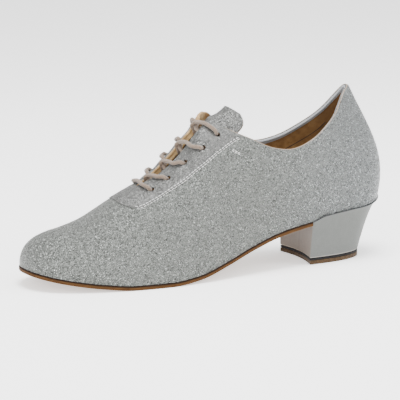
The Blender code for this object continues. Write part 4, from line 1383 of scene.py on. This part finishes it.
def fine_outsole(finish):
    """The thin leather sole; its layer named level runs from 0 below to 1 above."""
    columns = fine_ring(0.0, BREAST_ROW)
    half = SOLE_THICKNESS / 2
    edge = []
    for turn in range(90, -91, -15):
        angle = math.radians(turn)
        bulge = abs(math.cos(angle)) ** 0.35
        rise = math.copysign(abs(math.sin(angle)) ** 0.6, angle) if turn else 0.0
        edge.append((-SOLE_EDGE + 0.0007 * (1.0 - bulge), half + half * rise))
    inner = [0.002, 0.006, 0.012, 0.020]
    sections = [(None, SOLE_THICKNESS)]
    sections += [(inset, SOLE_THICKNESS) for inset in inner[::-1]]
    sections += edge
    sections += [(inset, 0.0) for inset in inner]
    sections.append((None, 0.0))
    work = Sheets()
    lines, levels = [], []
    for inset, high in sections:
        line = []
        for row, side in columns:
            section = meridian(row, side)
            point, _ = section.inward(inset)
            bow = 0.0
            if row > BREAST_ROW - 1.0:
                bow = (breast_bow(point.y, section.foot_reach) - GAP) * (row - BREAST_ROW + 1.0)
            line.append((point.x + bow, point.y, UNDERSIDE(share(point.x)) + high))
            levels.append(high / SOLE_THICKNESS)
        lines.append(line)
    numbers = work.grid(lines)
    work.fill(numbers)
    for end in (0, -1):
        ends = [line[end] for line in numbers]
        middle = len(ends) // 2
        work.between(ends[:middle + 1], ends[:middle - 1:-1])
    return make_piece("outsole_leather", work, [finish], layers={"level": levels})


def heel_sections():
    """Pairs of a top point and a base point all round the heel, and how far across each is."""
    pairs = []
    for row, side in fine_ring(BREAST_ROW, LAST_ROW):
        pairs.append((heel_top_point(row, side, -HEEL_EDGE), heel_base_point(row, side), 2.0))
    reach = meridian(BREAST_ROW, MED).foot_reach + HEEL_EDGE
    for k in range(1, 32):
        across = 1.0 - k / 16
        side = MED if across >= 0.0 else LAT
        inset = (1.0 - abs(across)) * reach - HEEL_EDGE
        top = heel_top_point(BREAST_ROW, side, inset if across else None)
        y = across * HEEL_BASE_WIDTH / 2
        base = Vector((along(BREAST_AT) + breast_bow(y, HEEL_BASE_WIDTH / 2), y, 0.0))
        pairs.append((top, base, across))
    return pairs


def covered_heel(finish, breast):
    """The covered heel; its layers are level, 0 above to 1 below, and across, the breast's."""
    base_height = TIP_SUEDE + TIP_RUBBER + 2 * GAP
    pairs = heel_sections()
    work = Sheets()
    lines, levels, acrosses = [], [], []
    steps = [0.0, 0.004, HEEL_ROUND_PART] + [k / 40 for k in range(1, 40)]
    for level in steps + [1.0 - HEEL_ROUND_PART, 0.996, 1.0]:
        line = []
        near = max(0.0, 1.0 - min(level, 1.0 - level) / HEEL_ROUND_PART)
        for a, b, across in pairs:
            point = a.lerp(b, level ** HEEL_FLARE)
            point.z = a.z + (base_height - a.z) * level
            middle = Vector((along(BREAST_AT) + HEEL_MIDDLE, 0.0, point.z))
            line.append(point + (middle - point).normalized() * HEEL_ROUND * near)
            levels.append(level)
            acrosses.append(across)
        lines.append(line)
    numbers = work.grid(lines)
    for first, second in zip(numbers, numbers[1:]):
        for i in range(len(first)):
            j = (i + 1) % len(first)
            front = 1 if min(pairs[i][2], pairs[j][2]) < 1.5 else 0
            work.cap((first[i], first[j], second[j], second[i]), front)
    seat = []
    columns = fine_ring(BREAST_ROW, LAST_ROW)
    for inset in (0.003, 0.006, 0.010, None):
        seat.append([heel_top_point(row, side, inset) for row, side in columns])
        levels += [0.0] * len(columns)
        acrosses += [2.0] * len(columns)
    rows = [numbers[0][:len(columns)], *work.grid(seat)]
    work.fill(rows)
    work.cap(rows[-1] + numbers[0][len(columns):][::-1])
    work.cap(numbers[-1])
    layers = {"level": levels, "across": acrosses}
    return make_piece("covered_heel", work, [finish, breast], layers, sharp=42)


def tip_layer(name, finish, low, high):
    """One layer of the heel's tip, with softened edges."""
    work = Sheets()
    middle = Vector((along(BREAST_AT) + HEEL_MIDDLE, 0.0, 0.0))
    bases = [base for _, base, _ in heel_sections()]
    lines = []
    for height, inset in ((low, TIP_ROUND), (low + 0.0002, 0.0), (high - 0.0002, 0.0), (high, TIP_ROUND)):
        lift = Vector((0.0, 0.0, height))
        lines.append([base + (middle - base).normalized() * inset + lift for base in bases])
    numbers = work.grid(lines)
    work.fill(numbers, closed=True)
    work.cap(numbers[0])
    work.cap(numbers[-1])
    return make_piece(name, work, [finish], sharp=40)


def fine_lace(finish):
    """The lace through the same holes as the solid's, with a UV map along and round it."""
    points = [np.array(point) for point in smooth_route(lace_route(), 10)]
    count, sides = len(points), LACE_SIDES
    walked = walked_along(points)
    turns = [2.0 * math.pi * s / sides for s in range(sides)]
    verts, faces = [], []
    up = np.array((0.0, 0.0, 1.0))
    for k, point in enumerate(points):
        ahead = points[min(count - 1, k + 1)] - points[max(0, k - 1)]
        ahead = ahead / np.linalg.norm(ahead)
        up = up - ahead * (up @ ahead)
        up = up / np.linalg.norm(up)
        across = np.cross(ahead, up)
        middle = point + np.array(SHIFT)
        for turn in turns:
            offset = (across * math.cos(turn) + up * math.sin(turn)) * LACE_LOOK / 2
            verts.append(tuple(middle + offset))
    for k in range(count - 1):
        for s in range(sides):
            a, b = k * sides + s, k * sides + (s + 1) % sides
            faces.append((a, b, b + sides, a + sides))
    last = (count - 1) * sides
    faces.append(tuple(range(sides - 1, -1, -1)))
    faces.append(tuple(range(last, last + sides)))
    mesh = bpy.data.meshes.new("lace_cord")
    mesh.from_pydata(verts, [], faces)
    layer = mesh.uv_layers.new(name="along")
    for polygon in mesh.polygons:
        corners = [divmod(vert, sides) for vert in polygon.vertices]
        closing = polygon.index < len(faces) - 2 and any(s == sides - 1 for _, s in corners)
        for loop, (k, s) in zip(polygon.loop_indices, corners):
            around = 1.0 if closing and s == 0 else s / sides
            layer.data[loop].uv = (walked[k], around)
    mesh.materials.append(finish)
    return ridden("lace_cord", mesh)


def cut_holes(pieces):
    """Round holes for the lace, right through the pieces."""
    bm = bmesh.new()
    for side in (LAT, MED):
        for row, v in eyelet_places(side):
            turn = skin_normal(row, side, v).to_track_quat("Z", "Y").to_matrix().to_4x4()
            place = Matrix.Translation(skin(row, side, v, WALL / 2) + SHIFT) @ turn
            bmesh.ops.create_cone(
                bm, cap_ends=True, segments=40, matrix=place,
                radius1=EYELET_HOLE / 2, radius2=EYELET_HOLE / 2, depth=4 * WALL,
            )
    mesh = bpy.data.meshes.new("hole_cutter")
    bm.to_mesh(mesh)
    bm.free()
    tool = bpy.data.objects.new("hole_cutter", mesh)
    bpy.context.scene.collection.objects.link(tool)
    for piece in pieces:
        cut = piece.modifiers.new("holes", "BOOLEAN")
        cut.operation = "DIFFERENCE"
        cut.object = tool
        cut.solver = "EXACT"
    bpy.context.view_layer.update()
    graph = bpy.context.evaluated_depsgraph_get()
    results = [bpy.data.meshes.new_from_object(piece.evaluated_get(graph)) for piece in pieces]
    for piece, mesh in zip(pieces, results):
        piece.modifiers.clear()
        name = piece.data.name
        piece.data = mesh
        mesh.name = name
    bpy.data.objects.remove(tool)


def feed(tree, node, inputs):
    """Sets a node's inputs, by name or number, to values or to other nodes' sockets."""
    for key, value in inputs.items():
        if isinstance(value, bpy.types.NodeSocket):
            tree.links.new(value, node.inputs[key])
        else:
            node.inputs[key].default_value = value


def add(tree, kind, inputs=None, **settings):
    """A new node with its own settings and its inputs."""
    made = tree.nodes.new(kind)
    for name, value in settings.items():
        setattr(made, name, value)
    feed(tree, made, inputs or {})
    return made


def start_material(name, **inputs):
    """A material with these plain inputs of its shader, spaces written as underscores."""
    made = bpy.data.materials.new(name)
    made.use_nodes = True
    shader = made.node_tree.nodes["Principled BSDF"]
    feed(made.node_tree, shader, {key.replace("_", " "): value for key, value in inputs.items()})
    return made, made.node_tree, shader


def place(tree, scale=(1.0, 1.0, 1.0)):
    """Object coordinates, stretched by scale."""
    coords = add(tree, "ShaderNodeTexCoord").outputs["Object"]
    return add(tree, "ShaderNodeMapping", {"Vector": coords, "Scale": scale}).outputs["Vector"]


def part_of(tree, vector, axis):
    return add(tree, "ShaderNodeSeparateXYZ", {"Vector": vector}).outputs[axis]


def layer_of(tree, name):
    return add(tree, "ShaderNodeAttribute", attribute_name=name).outputs["Fac"]


def noise(tree, vector, size, detail=3.0, roughness=0.55):
    """Noise whose features are about this size in metres."""
    inputs = {"Vector": vector, "Scale": 1.0 / size, "Detail": detail, "Roughness": roughness}
    return add(tree, "ShaderNodeTexNoise", inputs).outputs["Fac"]


def ramp(tree, value, *stops):
    """Colours for a value from 0 to 1; stops are (place, colour)."""
    made = add(tree, "ShaderNodeValToRGB", {"Fac": value})
    points = made.color_ramp.elements
    while len(points) < len(stops):
        points.new(0.5)
    for point, (where, colour) in zip(points, stops):
        point.position = where
        point.color = (*colour, 1.0)
    return made.outputs["Color"]


def specked(tree, colour, value, low, dark, high, light):
    """The colour times a grey that goes from dark at a low value to light at a high one."""
    greys = ramp(tree, value, (low, (dark,) * 3), (high, (light,) * 3))
    return mixed(tree, 1.0, colour, greys, "MULTIPLY")


def mixed(tree, factor, first, second, blend="MIX"):
    """One colour over another; each is a socket or a plain colour."""
    inputs = {"Factor": factor}
    for number, value in ((6, first), (7, second)):
        inputs[number] = value if isinstance(value, bpy.types.NodeSocket) else (*value, 1.0)
    return add(tree, "ShaderNodeMix", inputs, data_type="RGBA", blend_type=blend).outputs[2]


def bump(tree, height, strength, distance, **normal):
    """A normal from a height; another normal that it starts from may be given as Normal."""
    inputs = {"Height": height, "Strength": strength, "Distance": distance, **normal}
    return add(tree, "ShaderNodeBump", inputs).outputs["Normal"]


def ranged(tree, value, low, high, first=0.0, second=1.0):
    """first where the value is low and second where it is high, evenly between."""
    inputs = {"Value": value, "From Min": low, "From Max": high, "To Min": first, "To Max": second}
    return add(tree, "ShaderNodeMapRange", inputs).outputs["Result"]


def vector_maths(tree, operation, *values, **named):
    inputs = {**dict(enumerate(values)), **named}
    return add(tree, "ShaderNodeVectorMath", inputs, operation=operation).outputs[0]


def glitter(name, colours, tilt, tint, roughness, metallic):
    """Fine metallic grains: each has its own shade and its own slope."""
    made, tree, shader = start_material(name, Roughness=roughness, Metallic=metallic)
    vector = place(tree)
    inputs = {"Vector": vector, "Scale": 1.0 / GRAIN}
    cells = add(tree, "ShaderNodeTexVoronoi", inputs).outputs["Color"]
    shade = add(tree, "ShaderNodeSeparateColor", {"Color": cells}).outputs["Red"]
    dark, middle, light, bright = colours
    stops = (0.0, dark), (0.30, middle), (0.72, light), (0.93, light), (1.0, bright)
    clouds = noise(tree, vector, 0.0016, detail=4.0)
    grains = specked(tree, ramp(tree, shade, *stops), clouds, 0.3, 0.86, 0.7, 1.0)
    back = ranged(tree, part_of(tree, vector, "X"), 0.02, 0.11)
    colour = mixed(tree, 1.0, grains, mixed(tree, back, *tint), "MULTIPLY")
    slope = vector_maths(tree, "SUBTRACT", cells, (0.5, 0.5, 0.5))
    slope = vector_maths(tree, "SCALE", slope, Scale=tilt)
    surface = add(tree, "ShaderNodeNewGeometry").outputs["Normal"]
    leaning = vector_maths(tree, "NORMALIZE", vector_maths(tree, "ADD", surface, slope))
    normal = bump(tree, clouds, 0.35, 0.0003, Normal=leaning)
    feed(tree, shader, {"Base Color": colour, "Normal": normal})
    return made


def satin(name, low, high, roughness, metallic, line=None, seam=None):
    """Smooth close-woven cloth; line is a painted highlight along the heel's lower rounded edge, seam up
    its breast.
    """
    made, tree, shader = start_material(name, Roughness=roughness, Metallic=metallic)
    vector = place(tree)
    clouds = noise(tree, vector, 0.004, detail=5.0, roughness=0.65)
    fine = noise(tree, vector, 0.00035, detail=2.0)
    colour = specked(tree, mixed(tree, clouds, low, high), fine, 0.3, 0.80, 0.7, 1.12)
    if line:
        # painted highlight: a pale band along the heel's lower rounded edge
        near = ranged(tree, layer_of(tree, "level"), 0.972, 0.982)
        colour = mixed(tree, near, colour, line)
    if seam:
        inputs = {0: layer_of(tree, "across")}
        away = add(tree, "ShaderNodeMath", inputs, operation="ABSOLUTE").outputs[0]
        colour = mixed(tree, ranged(tree, away, 0.008, 0.022, 0.75, 0.0), colour, seam)
    feed(tree, shader, {"Base Color": colour, "Normal": bump(tree, fine, 0.25, 0.0001)})
    return made


def suede(name, size, *colours, back=None):
    """Brushed leather with soft mottling; back is painted shade, darker towards the shoe's back."""
    made, tree, shader = start_material(
        name, Roughness=0.85, Sheen_Weight=0.12, Sheen_Roughness=0.5, Specular_IOR_Level=0.2,
    )
    vector = place(tree)
    clouds = noise(tree, vector, size, detail=6.0, roughness=0.62)
    fine = noise(tree, vector, 0.0004)
    mottled = ramp(tree, clouds, *zip((0.32, 0.5, 0.68), colours))
    colour = specked(tree, mottled, fine, 0.25, 0.82, 0.75, 1.12)
    if back:
        # painted shade: the lining darkens towards the back, inside the heel
        far = ranged(tree, part_of(tree, vector, "X"), 0.075, 0.115)
        colour = mixed(tree, far, colour, back)
    feed(tree, shader, {"Base Color": colour, "Normal": bump(tree, fine, 0.5, 0.0002)})
    return made


def sole_leather():
    """Dark upper line, brown body and lighter lower line, by the layer named level."""
    made, tree, shader = start_material(
        "sole_edge_leather", Roughness=0.65, Specular_IOR_Level=0.08,
    )
    streaks = noise(tree, place(tree, (1.0, 1.0, 6.0)), 0.006, detail=5.0)
    body = ramp(tree, streaks, (0.3, (0.040, 0.017, 0.005)), (0.7, (0.075, 0.035, 0.011)))
    level = layer_of(tree, "level")
    colour = mixed(tree, ranged(tree, level, 0.66, 0.80), body, (0.014, 0.006, 0.003))
    colour = mixed(tree, ranged(tree, level, 0.16, 0.04), colour, (0.14, 0.080, 0.038))
    surface = add(tree, "ShaderNodeNewGeometry").outputs["Normal"]
    below = ranged(tree, part_of(tree, surface, "Z"), -0.75, -0.9)
    nap = noise(tree, place(tree), 0.0012, detail=5.0)
    buff = ramp(tree, nap, (0.3, (0.16, 0.09, 0.048)), (0.7, (0.25, 0.16, 0.095)))
    colour = mixed(tree, below, colour, buff)
    feed(tree, shader, {"Base Color": colour, "Normal": bump(tree, nap, 0.3, 0.0002)})
    return made


def braided_cord():
    """Cotton cord: slanting strands that cross, from the map along the lace, with painted shade in the
    grooves between them.
    """
    made, tree, shader = start_material("lace_braid", Roughness=0.85, Sheen_Weight=0.3)

    def maths(operation, *values):
        inputs = dict(enumerate(values))
        return add(tree, "ShaderNodeMath", inputs, operation=operation).outputs[0]

    coords = add(tree, "ShaderNodeTexCoord").outputs["UV"]
    run = maths("MULTIPLY", part_of(tree, coords, "X"), 2.0 * math.pi / BRAID)
    waves = []
    for turns in (6.0, -6.0):
        slant = maths("MULTIPLY_ADD", part_of(tree, coords, "Y"), 2.0 * math.pi * turns, run)
        waves.append(maths("SINE", slant))
    weave = ranged(tree, maths("MAXIMUM", *waves), -0.4, 1.0)
    clouds = noise(tree, place(tree), 0.0015, detail=4.0)
    base = mixed(tree, clouds, (0.150, 0.106, 0.074), (0.225, 0.168, 0.122))
    # painted shade: darker where the weave is low, in the grooves between strands
    colour = mixed(tree, weave, (0.09, 0.058, 0.040), base)
    feed(tree, shader, {"Base Color": colour, "Normal": bump(tree, weave, 0.6, 0.0002)})
    return made


def thread(name, colour, darker):
    made, tree, shader = start_material(name, Roughness=0.6)
    clouds = noise(tree, place(tree), 0.0006, detail=2.0)
    feed(tree, shader, {"Base Color": mixed(tree, clouds, darker, colour)})
    return made


def rubber():
    made, tree, shader = start_material(
        "tip_rubber_black", Roughness=0.6, Specular_IOR_Level=0.15,
    )
    grain = noise(tree, place(tree), 0.0005)
    dark = mixed(tree, grain, (0.004, 0.004, 0.005), (0.013, 0.012, 0.012))
    feed(tree, shader, {"Base Color": dark, "Normal": bump(tree, grain, 0.3, 0.0001)})
    return made


def stage():
    """A plain pale floor, soft light from above and the sides, and the camera."""
    scene = bpy.context.scene
    mesh = bpy.data.meshes.new("floor")
    corners = ((-1, -1), (1, -1), (1, 1), (-1, 1))
    mesh.from_pydata([(x * FLOOR_REACH, y * FLOOR_REACH, 0.0) for x, y in corners], [], [(0, 1, 2, 3)])
    made, tree, shader = start_material(
        "floor_paint", Roughness=0.9, Specular_IOR_Level=0.1,
        Emission_Color=(1.0, 1.0, 1.0, 1.0), Emission_Strength=FLOOR_GLOW,
    )
    shade = noise(tree, place(tree), 0.5, detail=2.0)
    feed(tree, shader, {"Base Color": mixed(tree, shade, FLOOR_LOW, FLOOR_HIGH)})
    mesh.materials.append(made)
    floor = bpy.data.objects.new("floor", mesh)
    scene.collection.objects.link(floor)
    world = bpy.data.worlds.new("studio")
    world.use_nodes = True
    background = world.node_tree.nodes["Background"]
    background.inputs["Color"].default_value = (1.0, 1.0, 1.0, 1.0)
    background.inputs["Strength"].default_value = WORLD_LIGHT
    scene.world = world
    for name, place_at, size, power in LIGHTS:
        data = bpy.data.lights.new(name, "AREA")
        data.shape = "DISK"
        data.size = size
        data.energy = power
        lamp = bpy.data.objects.new(name, data)
        lamp.location = place_at
        aim = Vector((0.0, 0.0, LIGHT_AIM)) - Vector(place_at)
        lamp.rotation_euler = aim.to_track_quat("-Z", "Y").to_euler()
        scene.collection.objects.link(lamp)
    camera = bpy.data.cameras.new("camera")
    camera.sensor_width = SENSOR
    camera.sensor_fit = "HORIZONTAL"
    camera.lens = SENSOR * CAMERA_SCALE * CAMERA_DISTANCE / 400.0
    camera.shift_x, camera.shift_y = CAMERA_SHIFT
    camera.clip_start = 0.01
    camera.clip_end = 20.0
    turn, rise = math.radians(CAMERA_TURN), math.radians(CAMERA_RISE)
    back = Vector((
        -math.sin(turn) * math.cos(rise), -math.cos(turn) * math.cos(rise), math.sin(rise),
    ))
    made = bpy.data.objects.new("camera", camera)
    made.location = Vector((0.0, 0.0, CAMERA_AIM)) + SHIFT + back * CAMERA_DISTANCE
    made.rotation_euler = (-back).to_track_quat("-Z", "Y").to_euler()
    scene.collection.objects.link(made)
    scene.camera = made


def main():
    body = glitter(
        "glitter_silver",
        ((0.020, 0.020, 0.020), (0.088, 0.091, 0.086), (0.168, 0.173, 0.168), (0.60, 0.61, 0.61)),
        1.5, ((0.98, 1.0, 0.96), (1.12, 1.16, 1.20)), 0.38, 0.5,
    )
    panel_cloth = glitter(
        "panel_silver",
        ((0.038, 0.038, 0.038), (0.080, 0.080, 0.078), (0.124, 0.126, 0.123), (0.32, 0.32, 0.32)),
        0.8, ((1.0, 1.0, 0.98), (1.0, 1.0, 1.0)), 0.42, 0.45,
    )
    # the lining's back colour is painted shade inside the heel's back
    lining = suede(
        "lining_suede", 0.004, (0.185, 0.097, 0.034), (0.25, 0.137, 0.050), (0.31, 0.18, 0.072),
        back=(0.12, 0.058, 0.022),
    )
    # raw edge tan, also used as painted light on the lining's top band along the flaps
    raw = suede("raw_edge_and_painted_light", 0.002, (0.26, 0.16, 0.070), (0.36, 0.235, 0.110), (0.45, 0.31, 0.16))
    # a lighter matte copy of the silver cloth for the collar's fold: painted light
    lit_fold_cloth = satin("collar_fold_lit_copy", (0.24, 0.25, 0.26), (0.32, 0.33, 0.345), 0.6, 0.0)
    cloth = upper_cloth(body, lit_fold_cloth)
    inner = upper_lining(lining, raw)
    panel = lacing_panel(panel_cloth)
    cut_holes([cloth, inner, panel])
    for piece in (cloth, panel):
        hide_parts("upper")
    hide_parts("upper")
    white = thread("white_thread", (0.78, 0.78, 0.76), (0.60, 0.60, 0.58))
    dark = thread("seam_shadow", (0.10, 0.10, 0.095), (0.06, 0.06, 0.055))
    for piece in seam_stitches(white, dark):
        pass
    dark_thread = thread("lining_seam_shadow", (0.040, 0.020, 0.008), (0.025, 0.012, 0.005))
    lining_seam(dark_thread)
    piping = collar_piping(thread("cream_edge", (0.36, 0.27, 0.205), (0.27, 0.20, 0.15)))
    tongue_suede = suede(
        "tongue_suede", 0.003, (0.07, 0.034, 0.013), (0.10, 0.050, 0.020), (0.14, 0.072, 0.030),
    )
    tongue_pieces = fine_tongue(panel_cloth, tongue_suede)
    for piece, slot in zip(tongue_pieces, ("glitter_cloth", "insole_leather")):
        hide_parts("tongue")
    sock = fine_insole(suede(
        "sock_suede", 0.006, (0.18, 0.100, 0.046), (0.21, 0.122, 0.058), (0.24, 0.145, 0.072),
    ))
    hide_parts("insole")
    sole = fine_outsole(sole_leather())
    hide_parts("outsole")
    # the pale line colours below are a painted highlight along the heel's lower edge
    heel_piece = covered_heel(
        satin("heel_cover_cloth", (0.080, 0.084, 0.078), (0.106, 0.111, 0.103), 0.55, 0.12,
              line=(0.25, 0.24, 0.22)),
        satin("heel_breast_cloth", (0.135, 0.108, 0.088), (0.180, 0.148, 0.124), 0.6, 0.1,
              line=(0.28, 0.23, 0.19), seam=(0.10, 0.075, 0.06)),
    )
    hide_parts("heel")
    # painted shadow in the gap between the heel's cover and the upper
    gap_shadow_line = heel_gap_shadow(thread("heel_gap_shade", (0.035, 0.036, 0.040), (0.020, 0.020, 0.022)))
    tip_suede = suede(
        "tip_suede_brown", 0.0016,
        (0.030, 0.015, 0.005), (0.050, 0.027, 0.010), (0.078, 0.044, 0.018),
    )
    lower = tip_layer("tip_suede_layer", tip_suede, 0.0, TIP_SUEDE)
    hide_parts("heel_tip_suede")
    start = TIP_SUEDE + GAP
    upper_layer = tip_layer("tip_rubber_layer", rubber(), start, start + TIP_RUBBER)
    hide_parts("heel_tip_rubber")
    cord = fine_lace(braided_cord())
    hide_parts("lace")
    stage()


main()
